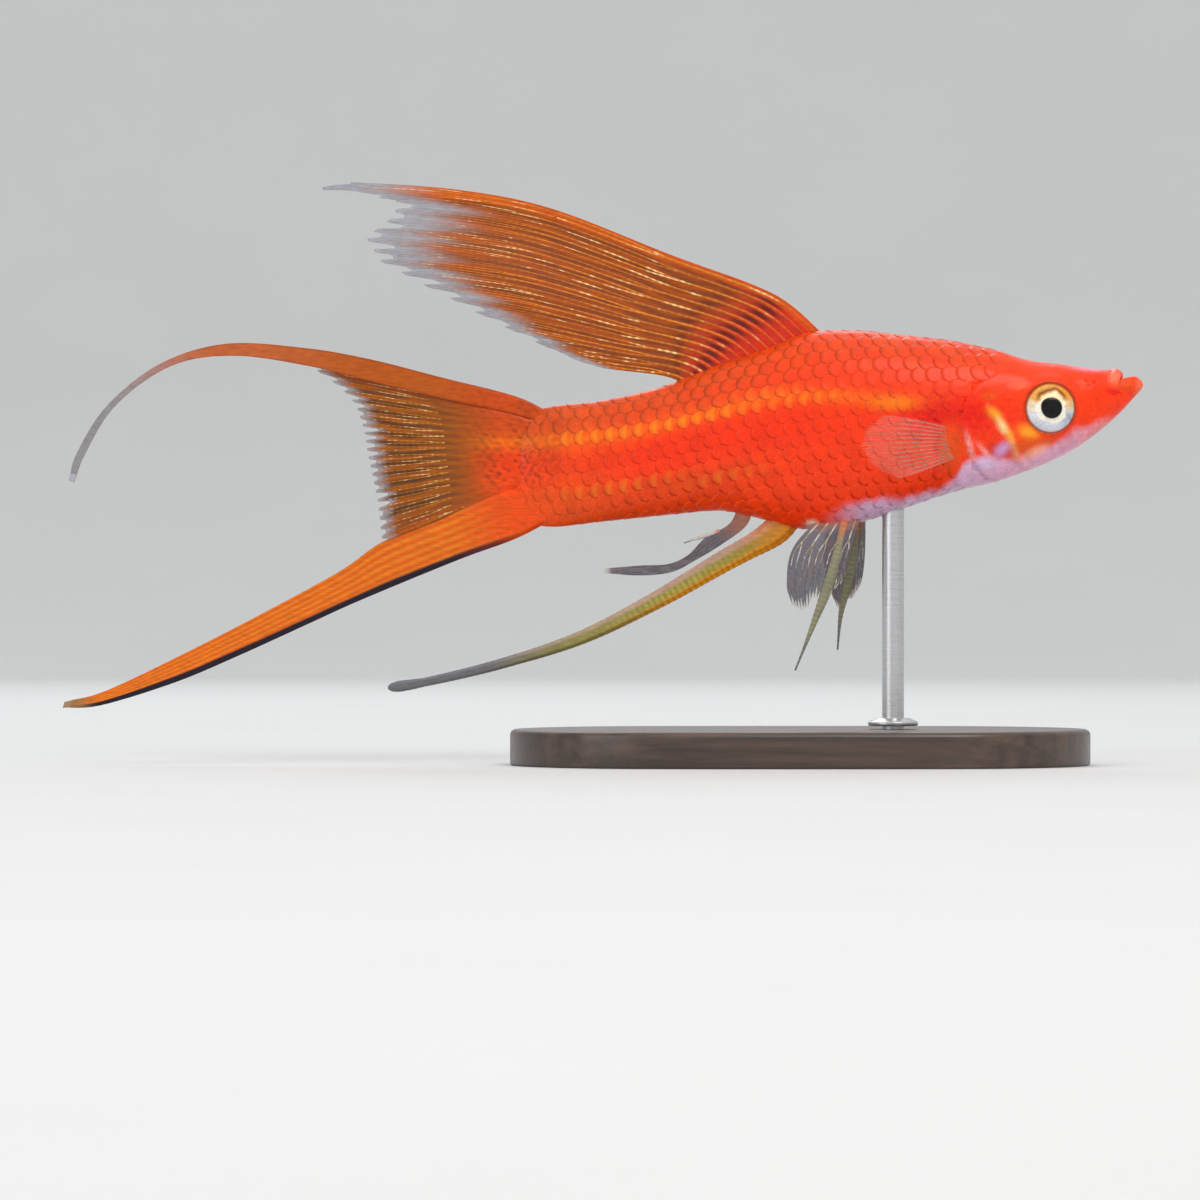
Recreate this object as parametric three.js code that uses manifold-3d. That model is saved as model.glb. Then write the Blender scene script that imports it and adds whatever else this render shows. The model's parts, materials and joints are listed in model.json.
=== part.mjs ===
// A male high-finned, lyre-tailed swordtail as a still, life-size display model on a small stand.
// Millimetres, +Z up, +X towards the snout, +Y the fish's left. The origin is the middle of the
// underside of the stand's base. The fish is modelled whole and parted where its parts are named.

import * as THREE from 'three';
import { mergeVertices } from 'three/addons/utils/BufferGeometryUtils.js';
import Module from 'manifold-3d';

const wasm = await Module();
wasm.setup();

// Clearances and thicknesses
const GAP = 0.3; // between neighbouring pieces
const FIN_BASE = 0.7; // thickness of a fin where it leaves the body
const FIN_EDGE = 0.5; // thickness of a fin at its margin
const JAW_GAP = 0.24; // shift of the jaw off its parting line, forwards and down
const MERGE = 1e-4; // points closer than this are one
const FAR = 60; // reach of the blocks that part the body

// Stand
const BASE_LENGTH = 58;
const BASE_WIDTH = 34;
const BASE_HEIGHT = 3.6;
const BASE_BEVEL = 0.6;
const ROD_X = 9.3;
const ROD_RADIUS = 1.1;
const ROD_SEAT = 1.2; // height of the rod's foot inside the base
const COLLAR_RADIUS = 2.5;
const COLLAR_HEIGHT = 0.8;
const ROD_REACH = 30; // the rod is carried up to here, then cut to the belly

// Eyes: flattened balls seated to their widest ring in the skin
const EYE_CENTRE = new THREE.Vector3(24.7, 3.2, 35.57);
const EYE_RADIUS = 2.7;
const EYE_DEPTH = 1.6; // half the ball's size across the head
const EYE_TURN = THREE.MathUtils.degToRad(6); // forward lean of the eye's axis

// Gill cover: the rounded plate behind the cheek
const GILL_CENTRE = [18.2, 33.6];
const GILL_HALF_LENGTH = 3.0;
const GILL_HALF_HEIGHT = 3.2;
const GILL_INNER_FACE = 2.9;

// Rings and columns of the faceted surfaces
const RINGS_PER_STATION = 2;
const RING_POINTS = 24;
const SLOPE_STEP = 1e-3; // share of a fin over which its slope is taken

// Body stations from the tail to the inside of the mouth. Each gives the back and the belly as
// [x, z], the widest point of the side as [x, y, z], and how square the section is (1 is round).
const STATIONS = [
  { back: [-28.8, 29.7], belly: [-28.8, 29.7], side: [-28.8, 0, 29.7], round: 1 },
  { back: [-28.2, 33.0], belly: [-28.2, 26.4], side: [-28.5, 0.35, 29.7], round: 1 },
  { back: [-26.8, 35.3], belly: [-26.8, 24.2], side: [-27.2, 0.9, 29.7], round: 1 },
  { back: [-24.5, 36.0], belly: [-24.5, 23.7], side: [-24.5, 1.45, 29.8], round: 1 },
  { back: [-20.0, 36.5], belly: [-20.0, 24.2], side: [-20.0, 2.1, 30.2], round: 1 },
  { back: [-14.0, 37.9], belly: [-14.0, 24.8], side: [-14.0, 2.8, 31.2], round: 1 },
  { back: [-8.0, 40.2], belly: [-8.0, 25.3], side: [-8.0, 3.5, 32.5], round: 1 },
  { back: [-3.5, 41.7], belly: [-3.5, 24.4], side: [-3.5, 4.05, 33.3], round: 1 },
  { back: [0.5, 43.3], belly: [0.0, 23.5], side: [0.5, 4.5, 33.8], round: 1 },
  { back: [5.0, 43.6], belly: [5.0, 23.9], side: [5.0, 4.85, 34.2], round: 0.98 },
  { back: [10.0, 43.15], belly: [10.0, 25.4], side: [10.0, 5.0, 34.6], round: 0.95 },
  { back: [15.0, 42.55], belly: [15.0, 27.1], side: [15.0, 4.95, 34.8], round: 0.92 },
  { back: [19.5, 41.6], belly: [19.5, 28.2], side: [19.5, 4.7, 35.0], round: 0.88 },
  { back: [22.8, 40.6], belly: [23.5, 29.6], side: [23.3, 4.3, 35.3], round: 0.84 },
  { back: [26.0, 40.2], belly: [26.8, 31.1], side: [26.5, 3.85, 35.6], round: 0.8 },
  { back: [28.8, 39.8], belly: [29.6, 33.0], side: [29.2, 3.1, 36.2], round: 0.78 },
  { back: [30.6, 39.65], belly: [31.7, 34.8], side: [30.9, 2.45, 36.9], round: 0.76 },
  { back: [31.6, 39.75], belly: [33.2, 36.4], side: [31.6, 2.1, 37.4], round: 0.75 },
  { back: [32.25, 39.3], belly: [34.3, 37.8], side: [31.8, 1.85, 37.9], round: 0.75 },
  { back: [32.2, 38.75], belly: [33.5, 38.75], side: [31.5, 1.35, 38.1], round: 0.8 },
  { back: [31.7, 38.45], belly: [32.1, 38.25], side: [31.2, 0.8, 38.15], round: 0.9 },
  { back: [30.8, 38.1], belly: [30.8, 38.1], side: [30.8, 0, 38.1], round: 1 },
];

// Lines along which the body is parted, from above to below, as [x, z]
const HEAD_CUT = [[15.0, FAR], [15.6, 38.5], [16.1, 35.0], [16.1, 32.0], [17.2, 29.8], [18.6, 27.0],
  [19.0, -FAR]];
const STALK_CUT = [[-6.0, FAR], [-6.6, 33.0], [-7.4, -FAR]];
const JAW_CUT = [[40.0, 42.0], [33.4, 39.35], [32.4, 38.65], [31.8, 38.35], [30.9, 38.05], [30.8, 37.1],
  [29.4, 35.2], [27.9, 30.5], [27.0, -FAR]];

// A smooth curve through points given as [x, z] or as [x, y, z]
function curveThrough(points) {
  const spots = points.map((p) => new THREE.Vector3(p[0], p.length === 3 ? p[1] : 0, p[p.length - 1]));
  return new THREE.CatmullRomCurve3(spots, false, 'catmullrom', 0.5);
}

const backLine = curveThrough(STATIONS.map((s) => s.back));
const bellyLine = curveThrough(STATIONS.map((s) => s.belly));
const sideLine = curveThrough(STATIONS.map((s) => s.side));
const roundLine = curveThrough(STATIONS.map((s) => [s.round, 0]));

// A point of the body. along runs from the tail at 0 to the mouth at 1, around runs from the back
// at 0 through the left side to the belly at pi, and swell moves the surface outwards.
function bodyPoint(along, around, swell) {
  const across = Math.sin(around);
  const up = Math.cos(around);
  const edge = (up > 0 ? backLine : bellyLine).getPoint(along);
  const side = sideLine.getPoint(along);
  const round = roundLine.getPoint(along).x;
  const rise = edge.z + Math.sign(up) * swell - side.z;
  return new THREE.Vector3(
    side.x + (edge.x - side.x) * up * up,
    Math.sign(across) * (side.y + swell) * Math.abs(across) ** round,
    side.z + rise * Math.abs(up) ** round,
  );
}

// The closed solid of a list of coordinates and of the triangles that join them
function solidOfCoordinates(coordinates, triangles) {
  const vertProperties = new Float32Array(coordinates);
  const triVerts = new Uint32Array(triangles);
  return new wasm.Manifold(new wasm.Mesh({ numProp: 3, vertProperties, triVerts }));
}

// The closed solid of a set of points and triangles
function solidOf(points, triangles) {
  return solidOfCoordinates(points.flatMap((p) => [p.x, p.y, p.z]), triangles);
}

// The closed solid of a three.js geometry
function solidOfGeometry(geometry) {
  const bare = geometry.clone();
  bare.deleteAttribute('normal');
  bare.deleteAttribute('uv');
  const merged = mergeVertices(bare, MERGE);
  return solidOfCoordinates(merged.attributes.position.array, merged.index.array);
}

// The three.js geometry of a solid
function geometryOf(solid) {
  const mesh = solid.getMesh();
  const geometry = new THREE.BufferGeometry();
  const positions = new Float32Array(mesh.numVert * 3);
  for (let i = 0; i < mesh.numVert; i += 1) {
    for (let k = 0; k < 3; k += 1) positions[3 * i + k] = mesh.vertProperties[i * mesh.numProp + k];
  }
  geometry.setAttribute('position', new THREE.BufferAttribute(positions, 3));
  geometry.setIndex(new THREE.BufferAttribute(new Uint32Array(mesh.triVerts), 1));
  return geometry;
}

// Rings of points joined in order and closed to a point at each end
function solidOfRings(rings, startPoint, endPoint) {
  const count = rings[0].length;
  const points = [startPoint, ...rings.flat(), endPoint];
  const last = points.length - 1;
  const lastRing = last - count;
  const triangles = [];
  for (let j = 0; j < count; j += 1) {
    const next = (j + 1) % count;
    triangles.push(0, 1 + next, 1 + j, last, lastRing + j, lastRing + next);
    for (let i = 0; i < rings.length - 1; i += 1) {
      const a = 1 + i * count;
      const b = a + count;
      triangles.push(a + j, a + next, b + next, a + j, b + next, b + j);
    }
  }
  return solidOf(points, triangles);
}

// The whole body, grown by swell
function bodySolid(swell) {
  const steps = (STATIONS.length - 1) * RINGS_PER_STATION;
  const rings = [];
  for (let i = 1; i < steps; i += 1) {
    const ring = [];
    for (let j = 0; j < RING_POINTS; j += 1) {
      ring.push(bodyPoint(i / steps, -(2 * Math.PI * j) / RING_POINTS, swell));
    }
    rings.push(ring);
  }
  const tail = bodyPoint(0, 0, 0).add(new THREE.Vector3(-swell, 0, 0));
  const mouth = bodyPoint(1, 0, 0).add(new THREE.Vector3(swell, 0, 0));
  return solidOfRings(rings, tail, mouth);
}

// An outline in x and z carried across the fish from y0 to y1
function block(shape, y0, y1) {
  const depth = y1 - y0;
  const geometry = new THREE.ExtrudeGeometry(shape, { depth, bevelEnabled: false, curveSegments: 14 });
  geometry.rotateX(Math.PI / 2);
  geometry.translate(0, y1, 0);
  return solidOfGeometry(geometry);
}

// All that lies on the side of a parting line towards x = end, moved off the line by [dx, dz]
function blockBeside(line, end, dx, dz) {
  const outline = line.map(([x, z]) => new THREE.Vector2(x + dx, z + dz));
  outline.push(new THREE.Vector2(end, line[line.length - 1][1]));
  outline.push(new THREE.Vector2(end, line[0][1]));
  return block(new THREE.Shape(outline), -FAR / 2, FAR / 2);
}

// The value at t of a broken line through [t, value] pairs
function valueAt(pairs, t) {
  let k = 0;
  while (k < pairs.length - 2 && t > pairs[k + 1][0]) k += 1;
  const [t0, v0] = pairs[k];
  const [t1, v1] = pairs[k + 1];
  return THREE.MathUtils.mapLinear(THREE.MathUtils.clamp(t, t0, t1), t0, t1, v0, v1);
}

// A fin: a thin solid about the sheet ruled between two edges. from and to say where each ray
// starts and ends as shares of the edges' length, and wave bends the sheet sideways.
function finSolid({ first, second, columns, rows, from = 0, to = [[0, 1], [1, 1]], wave = () => 0 }) {
  const firstEdge = curveThrough(first);
  const secondEdge = curveThrough(second);
  const at = (u, v) => {
    const t = THREE.MathUtils.clamp(from + (valueAt(to, u) - from) * v, 0, 1);
    const point = firstEdge.getPointAt(t).lerp(secondEdge.getPointAt(t), u);
    point.y += wave(u, t);
    return point;
  };
  const points = [];
  for (const side of [1, -1]) {
    for (let j = 0; j <= rows; j += 1) {
      for (let i = 0; i <= columns; i += 1) {
        const u = i / columns;
        const v = j / rows;
        const [u0, u1] = [Math.max(u - SLOPE_STEP, 0), Math.min(u + SLOPE_STEP, 1)];
        const [v0, v1] = [Math.max(v - SLOPE_STEP, 0), Math.min(v + SLOPE_STEP, 1)];
        const alongU = at(u1, v).sub(at(u0, v));
        const alongV = at(u, v1).sub(at(u, v0));
        const normal = alongU.cross(alongV).normalize();
        const half = THREE.MathUtils.lerp(FIN_BASE, FIN_EDGE, v) / 2;
        points.push(at(u, v).addScaledVector(normal, side * half));
      }
    }
  }
  const index = (side, i, j) => side * (rows + 1) * (columns + 1) + j * (columns + 1) + i;
  const triangles = [];
  const quad = (a, b, c, d) => triangles.push(a, b, c, a, c, d);
  for (let j = 0; j < rows; j += 1) {
    for (let i = 0; i < columns; i += 1) {
      quad(index(0, i, j), index(0, i + 1, j), index(0, i + 1, j + 1), index(0, i, j + 1));
      quad(index(1, i, j), index(1, i, j + 1), index(1, i + 1, j + 1), index(1, i + 1, j));
    }
    quad(index(1, 0, j), index(0, 0, j), index(0, 0, j + 1), index(1, 0, j + 1));
    quad(index(0, columns, j), index(1, columns, j), index(1, columns, j + 1), index(0, columns, j + 1));
  }
  for (let i = 0; i < columns; i += 1) {
    quad(index(1, i, 0), index(1, i + 1, 0), index(0, i + 1, 0), index(0, i, 0));
    quad(index(0, i, rows), index(0, i + 1, rows), index(1, i + 1, rows), index(1, i, rows));
  }
  return solidOf(points, triangles);
}

// A tapering rod along a curve. high and wide give half its height and width as [t, size] pairs.
function rodSolid({ path, steps, sides, high, wide }) {
  const curve = curveThrough(path);
  const rings = [];
  for (let i = 0; i <= steps; i += 1) {
    const t = i / steps;
    const centre = curve.getPointAt(t);
    const ahead = curve.getTangentAt(t);
    const side = new THREE.Vector3(0, 1, 0).addScaledVector(ahead, -ahead.y).normalize();
    const up = new THREE.Vector3().crossVectors(ahead, side);
    const ring = [];
    for (let j = 0; j < sides; j += 1) {
      const angle = (2 * Math.PI * j) / sides;
      const spot = centre.clone().addScaledVector(side, Math.cos(angle) * valueAt(wide, t));
      ring.push(spot.addScaledVector(up, Math.sin(angle) * valueAt(high, t)));
    }
    rings.push(ring);
  }
  return solidOfRings(rings, curve.getPointAt(0), curve.getPointAt(1));
}

// The same points on the other side of the fish
function mirrored(points) {
  return points.map(([x, y, z]) => [x, -y, z]);
}

const wholeBody = bodySolid(0);
const clearBody = bodySolid(GAP);
const HALF_GAP = GAP / 2;

// Eyes and their sockets
function eyeSolid(side, growth) {
  const ball = new THREE.SphereGeometry(1, 18, 10);
  ball.scale(EYE_RADIUS + growth, EYE_DEPTH + growth, EYE_RADIUS + growth);
  ball.rotateZ(-side * EYE_TURN);
  ball.translate(EYE_CENTRE.x, side * EYE_CENTRE.y, EYE_CENTRE.z);
  return solidOfGeometry(ball);
}

// Gill covers and their recesses
function gillBlock(side, growth) {
  const shape = new THREE.Shape();
  const halfLength = GILL_HALF_LENGTH + growth;
  const halfHeight = GILL_HALF_HEIGHT + growth;
  shape.absellipse(GILL_CENTRE[0], GILL_CENTRE[1], halfLength, halfHeight, 0, 2 * Math.PI);
  const inner = GILL_INNER_FACE - growth;
  return side > 0 ? block(shape, inner, FAR) : block(shape, -FAR, -inner);
}

// Head, jaw, trunk and tail stalk
const headAndJaw = wholeBody.intersect(blockBeside(HEAD_CUT, FAR, HALF_GAP, 0));
const behindHead = wholeBody.intersect(blockBeside(HEAD_CUT, -FAR, -HALF_GAP, 0));
const trunk = behindHead.intersect(blockBeside(STALK_CUT, FAR, HALF_GAP, 0));
const tailStalk = behindHead.intersect(blockBeside(STALK_CUT, -FAR, -HALF_GAP, 0));
const lowerJaw = headAndJaw.intersect(blockBeside(JAW_CUT, FAR, JAW_GAP, -JAW_GAP));
const gillCovers = [1, -1].map((side) => headAndJaw.intersect(gillBlock(side, 0)));
let head = headAndJaw.subtract(blockBeside(JAW_CUT, FAR, 0, 0));
for (const side of [1, -1]) {
  head = head.subtract(eyeSolid(side, GAP)).subtract(gillBlock(side, GAP));
}

// Dorsal fin, a tall sail swept back to a fine streamer
const dorsalFin = finSolid({
  first: [[3.0, 42.4], [-0.9, 46.0], [-4.6, 48.0], [-12.8, 51.0], [-24.9, 55.7], [-34.5, 57.6], [-44.8, 58.3],
    [-48.0, 58.2]],
  second: [[-10.4, 36.6], [-12.9, 38.7], [-20.7, 39.8], [-40.0, 42.5]],
  columns: 16,
  rows: 11,
  to: [[0, 1], [0.06, 1], [0.1, 0.87], [0.2, 0.88], [0.35, 0.96], [0.5, 0.95], [0.62, 0.87], [0.75, 0.75],
    [0.87, 0.6], [0.95, 0.46], [1, 0.36]],
  wave: (u, t) => 1.0 * t * Math.sin(4.2 * u + 2.6 * t),
});

// Caudal fin: an arched upper streamer, a fan, and a straight sword below
const STREAMER_OUTER = [[-24.9, 35.2], [-28.5, 36.9], [-35.6, 38.7], [-43.1, 40.6], [-49.6, 41.7],
  [-57.4, 42.1], [-63.9, 40.1], [-69.2, 35.9], [-72.2, 31.2], [-73.0, 28.4]];
const STREAMER_INNER = [[-25.4, 33.9], [-28.6, 35.0], [-35.6, 36.6], [-43.1, 38.4], [-49.2, 39.9],
  [-56.6, 40.9], [-62.8, 39.9], [-68.3, 36.0], [-71.4, 31.0], [-72.4, 28.2]];
const streamerWave = (u, t) => -1.6 * t * t;
const streamer = { first: STREAMER_OUTER, second: STREAMER_INNER, columns: 2, wave: streamerWave };
const streamerRoot = finSolid({ ...streamer, rows: 14, to: [[0, 0.5], [1, 0.5]] });
const streamerTip = finSolid({ ...streamer, rows: 16, from: 0.506 });
const caudalFan = finSolid({
  first: [[-25.4, 33.5], [-28.6, 34.6], [-35.6, 36.2], [-43.1, 38.0], [-48.9, 39.3]],
  second: [[-25.6, 28.9], [-30.0, 27.6], [-35.0, 25.5], [-41.9, 22.9]],
  columns: 14,
  rows: 6,
  to: [[0, 1], [0.1, 0.9], [0.2, 0.86], [0.35, 0.865], [0.5, 0.89], [0.65, 0.91], [0.8, 0.935], [1, 0.99]],
  wave: (u, t) => 0.5 * t * Math.sin(5 * u + 1),
});
const caudalSword = finSolid({
  first: [[-25.4, 28.5], [-30.0, 27.2], [-35.0, 25.1], [-41.6, 22.4], [-46.0, 19.4], [-53.7, 15.2],
    [-61.7, 11.1], [-69.5, 7.4], [-73.6, 6.3]],
  second: [[-24.6, 24.6], [-28.5, 22.6], [-34.2, 20.5], [-43.9, 16.5], [-49.2, 14.1], [-56.0, 11.0],
    [-62.4, 8.3], [-69.8, 6.0], [-73.8, 5.7]],
  columns: 3,
  rows: 20,
  wave: (u, t) => 0.8 * t * t,
});

// Anal fin: its front rays are the long gonopodium, its rear rays a short lobe
const gonopodium = rodSolid({
  path: [[-0.4, 26.4], [-2.0, 23.9], [-3.8, 22.5], [-7.6, 20.4], [-14.7, 16.3], [-22.0, 12.7], [-30.0, 10.1],
    [-37.0, 8.4], [-41.2, 7.7]],
  steps: 24,
  sides: 8,
  high: [[0, 1.7], [0.07, 1.6], [0.14, 1.25], [0.32, 1.05], [0.42, 0.9], [0.7, 0.6], [0.92, 0.5], [0.97, 0.7],
    [1, 0.4]],
  wide: [[0, 0.8], [0.2, 0.6], [0.7, 0.4], [0.92, 0.35], [0.97, 0.4], [1, 0.3]],
});
const SPINE_SIZE = [[0, 0.3], [1, 0.25]];
const analSpine = rodSolid({
  path: [[-8.0, 23.4], [-11.6, 22.2]], steps: 2, sides: 6, high: SPINE_SIZE, wide: SPINE_SIZE,
});
const analRearLobe = finSolid({
  first: [[-6.0, 26.6], [-7.0, 24.2], [-9.5, 22.7], [-11.2, 21.0], [-13.2, 20.1], [-16.0, 19.95],
    [-19.6, 19.65]],
  second: [[-4.6, 26.0], [-5.4, 23.9], [-8.0, 21.95], [-10.4, 20.5], [-12.8, 19.3], [-16.0, 18.95],
    [-19.6, 19.2]],
  columns: 3,
  rows: 12,
}).add(analSpine);

// Pelvic fins: ragged fans that lean outwards, each with one long trailing ray
function pelvicFin(side, first, second, ray, to) {
  const turn = (points) => (side > 0 ? points : mirrored(points));
  const fan = finSolid({ first: turn(first), second: turn(second), columns: 8, rows: 6, to });
  const high = [[0, 0.4], [0.4, 0.6], [1, 0.25]];
  const longRay = rodSolid({ path: turn(ray), steps: 8, sides: 6, high, wide: SPINE_SIZE });
  return fan.add(longRay).subtract(clearBody);
}
const pelvicRight = pelvicFin(
  -1,
  [[2.6, 1.0, 25.4], [-0.7, 2.3, 21.8], [-1.4, 2.9, 18.2], [-0.8, 3.2, 15.4]],
  [[6.2, 1.0, 25.4], [4.9, 2.2, 21.0], [4.1, 2.9, 18.0], [3.0, 3.1, 15.4]],
  [[4.2, 1.4, 23.6], [2.9, 2.8, 18.5], [1.2, 3.4, 14.0], [-0.6, 4.0, 9.5]],
  [[0, 0.95], [0.25, 1], [0.4, 0.97], [0.5, 0.87], [0.75, 0.9], [0.9, 0.78], [1, 0.7]],
);
const pelvicLeft = pelvicFin(
  1,
  [[3.0, 1.0, 25.4], [2.4, 2.3, 21.0], [3.2, 3.0, 17.4], [4.1, 3.3, 15.2]],
  [[6.6, 1.0, 25.4], [6.6, 2.3, 21.5], [6.4, 3.0, 19.0], [5.9, 3.2, 16.6]],
  [[5.6, 1.4, 23.6], [4.9, 2.8, 18.5], [4.2, 3.5, 15.0], [3.9, 4.2, 11.5]],
  [[0, 0.95], [0.2, 1], [0.45, 0.92], [0.7, 0.95], [1, 0.85]],
);

// Pectoral fins: clear rounded fans behind the gill covers
function pectoralFin(side) {
  const upper = [[16.0, 4.2, 33.4], [11.0, 6.2, 34.5], [5.8, 8.2, 35.0]];
  const lower = [[15.6, 4.0, 30.7], [11.0, 5.8, 28.9], [5.6, 7.3, 27.6]];
  const turn = (points) => (side > 0 ? points : mirrored(points));
  return finSolid({
    first: turn(upper),
    second: turn(lower),
    columns: 8,
    rows: 6,
    to: [[0, 0.78], [0.2, 0.95], [0.45, 1], [0.7, 0.9], [1, 0.62]],
  }).subtract(clearBody);
}

// Stand: a flat base with rounded ends and one rod with a collar
function standBase() {
  const endRadius = BASE_WIDTH / 2 - BASE_BEVEL;
  const straight = BASE_LENGTH / 2 - BASE_BEVEL - endRadius;
  const outline = new THREE.Shape();
  outline.absarc(straight, 0, endRadius, -Math.PI / 2, Math.PI / 2);
  outline.absarc(-straight, 0, endRadius, Math.PI / 2, (3 * Math.PI) / 2);
  const plate = new THREE.ExtrudeGeometry(outline, {
    depth: BASE_HEIGHT - 2 * BASE_BEVEL,
    bevelThickness: BASE_BEVEL,
    bevelSize: BASE_BEVEL,
    bevelSegments: 2,
    curveSegments: 9,
  });
  plate.translate(0, 0, BASE_BEVEL);
  const bore = new THREE.CylinderGeometry(ROD_RADIUS + GAP, ROD_RADIUS + GAP, BASE_HEIGHT, 20);
  bore.rotateX(Math.PI / 2);
  bore.translate(ROD_X, 0, ROD_SEAT - GAP + BASE_HEIGHT / 2);
  return solidOfGeometry(plate).subtract(solidOfGeometry(bore));
}
function standRod() {
  const collarFoot = BASE_HEIGHT + GAP;
  const collarTop = collarFoot + COLLAR_HEIGHT;
  const profile = [[0, ROD_SEAT], [ROD_RADIUS, ROD_SEAT], [ROD_RADIUS, collarFoot],
    [COLLAR_RADIUS, collarFoot], [COLLAR_RADIUS, collarFoot + COLLAR_HEIGHT / 2],
    [ROD_RADIUS, collarTop], [ROD_RADIUS, ROD_REACH], [0, ROD_REACH]];
  const rod = new THREE.LatheGeometry(profile.map(([r, z]) => new THREE.Vector2(r, z)), 20);
  rod.rotateX(Math.PI / 2);
  rod.translate(ROD_X, 0, 0);
  return solidOfGeometry(rod).subtract(clearBody);
}

// Finishes
const finish = (color, roughness, metalness = 0) => ({ color, roughness, metalness });
const RED_SKIN = finish('#f23c0c', 0.4);
const PINK_SKIN = finish('#d99aa6', 0.45);
const EYE = finish('#d9d2c0', 0.1);
const BROWN_FIN = finish('#7a4a14', 0.5);
const ORANGE_FIN = finish('#f07a1c', 0.5);
const CLEAR_FIN = finish('#a8a79a', 0.5);
const DARK_WOOD = finish('#2b2320', 0.35);
const STEEL = finish('#b9bcc0', 0.25, 1);

const swordtail = new THREE.Group();
const fish = new THREE.Group();
const stand = new THREE.Group();
swordtail.add(fish, stand);

// Puts one named piece in a group
function place(group, name, solid, look) {
  const mesh = new THREE.Mesh(geometryOf(solid), new THREE.MeshStandardMaterial(look));
  mesh.name = name;
  group.add(mesh);
}

place(fish, 'head', head, RED_SKIN);
place(fish, 'lower_jaw', lowerJaw, PINK_SKIN);
place(fish, 'trunk', trunk, RED_SKIN);
place(fish, 'tail_stalk', tailStalk, RED_SKIN);
place(fish, 'dorsal_fin', dorsalFin.subtract(clearBody), BROWN_FIN);
place(fish, 'caudal_streamer_root', streamerRoot.subtract(clearBody), ORANGE_FIN);
place(fish, 'caudal_streamer_tip', streamerTip, ORANGE_FIN);
place(fish, 'caudal_fan', caudalFan.subtract(clearBody), BROWN_FIN);
place(fish, 'caudal_sword', caudalSword.subtract(clearBody), ORANGE_FIN);
place(fish, 'gonopodium', gonopodium.subtract(clearBody), CLEAR_FIN);
place(fish, 'anal_fin_rear', analRearLobe.subtract(clearBody), CLEAR_FIN);
for (const [label, side] of [['left', 1], ['right', -1]]) {
  place(fish, `eye_${label}`, eyeSolid(side, 0), EYE);
  place(fish, `gill_cover_${label}`, gillCovers[side > 0 ? 0 : 1], RED_SKIN);
  place(fish, `pectoral_fin_${label}`, pectoralFin(side), CLEAR_FIN);
  place(fish, `pelvic_fin_${label}`, side > 0 ? pelvicLeft : pelvicRight, CLEAR_FIN);
}
place(stand, 'stand_base', standBase(), DARK_WOOD);
place(stand, 'stand_rod', standRod(), STEEL);

export default swordtail;
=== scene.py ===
"""A life-size swordtail on its stand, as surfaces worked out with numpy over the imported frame.

Lengths in the shape functions are millimetres in the frame's axes, +X to the snout, +Y to the fish's left
and +Z up, and become metres where a mesh is made. Colours are linear red, green and blue.
"""
import json
import math

import bpy
import numpy as np
from bpy.props import FloatProperty, FloatVectorProperty, PointerProperty
from bpy.types import Operator, Panel, PropertyGroup
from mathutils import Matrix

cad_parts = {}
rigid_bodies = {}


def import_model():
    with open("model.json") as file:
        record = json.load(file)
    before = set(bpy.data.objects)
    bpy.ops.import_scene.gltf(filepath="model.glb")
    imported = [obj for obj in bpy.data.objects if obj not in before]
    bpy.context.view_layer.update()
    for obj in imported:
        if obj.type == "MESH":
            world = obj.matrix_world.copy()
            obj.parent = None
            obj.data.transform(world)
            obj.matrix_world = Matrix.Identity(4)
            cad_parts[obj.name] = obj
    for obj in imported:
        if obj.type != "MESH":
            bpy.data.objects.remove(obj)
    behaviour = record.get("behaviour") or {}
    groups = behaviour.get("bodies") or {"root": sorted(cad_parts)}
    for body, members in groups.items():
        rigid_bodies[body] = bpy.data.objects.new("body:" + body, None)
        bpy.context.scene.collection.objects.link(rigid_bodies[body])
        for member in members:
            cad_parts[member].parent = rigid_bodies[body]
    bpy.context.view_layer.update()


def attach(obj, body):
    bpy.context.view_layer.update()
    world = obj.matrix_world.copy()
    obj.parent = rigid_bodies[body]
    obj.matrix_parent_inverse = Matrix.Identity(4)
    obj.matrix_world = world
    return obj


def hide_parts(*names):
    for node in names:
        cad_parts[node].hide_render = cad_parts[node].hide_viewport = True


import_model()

bl_info = {
    "name": "Swordtail display model",
    "version": (1, 0, 0),
    "blender": (4, 5, 0),
    "location": "View3D > Sidebar > Swordtail",
    "description": "Builds the skin, scales, eyes, fins and stand of a swordtail on its packed frame",
    "category": "Object",
}

MM = 0.001
SIDES = {"right": -1.0, "left": 1.0}
SIDEWAYS = np.array([0.0, 1.0, 0.0])


# Colours

def rgb(red, green, blue):
    """Linear colour of a screen colour from 0 to 255: each channel to the power 2.2."""
    return np.power(np.array([red, green, blue], float) / 255.0, 2.2)


FLESH_RED = rgb(255, 60, 3)
DEEP_RED = rgb(226, 8, 4)
BACK_RED = rgb(228, 72, 8)
OLIVE_EDGE = rgb(120, 58, 14)
LINE_GLINT_YELLOW = rgb(255, 150, 12)
LILAC = rgb(232, 172, 202)
SILVER_LILAC = rgb(220, 192, 228)
CHIN_PINK = rgb(238, 122, 116)
LIP_PINK = rgb(250, 118, 84)
TAIL_ORANGE = rgb(236, 86, 8)
TAIL_BROWN = rgb(118, 40, 8)
CREAM = rgb(255, 226, 150)
GOLD = rgb(255, 176, 40)
PEACH = rgb(255, 176, 140)
MAROON = rgb(120, 16, 30)
GLINT_LILAC = rgb(222, 188, 250)
PALE_PINK = rgb(255, 168, 160)
WHITE_BUMP = rgb(255, 214, 190)
WEB_BROWN = rgb(122, 56, 12)
WEB_ORANGE = rgb(170, 76, 12)
BASE_RED = rgb(222, 40, 8)
BLOTCH_BROWN = rgb(58, 22, 8)
RAY_GOLD = rgb(226, 132, 32)
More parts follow.
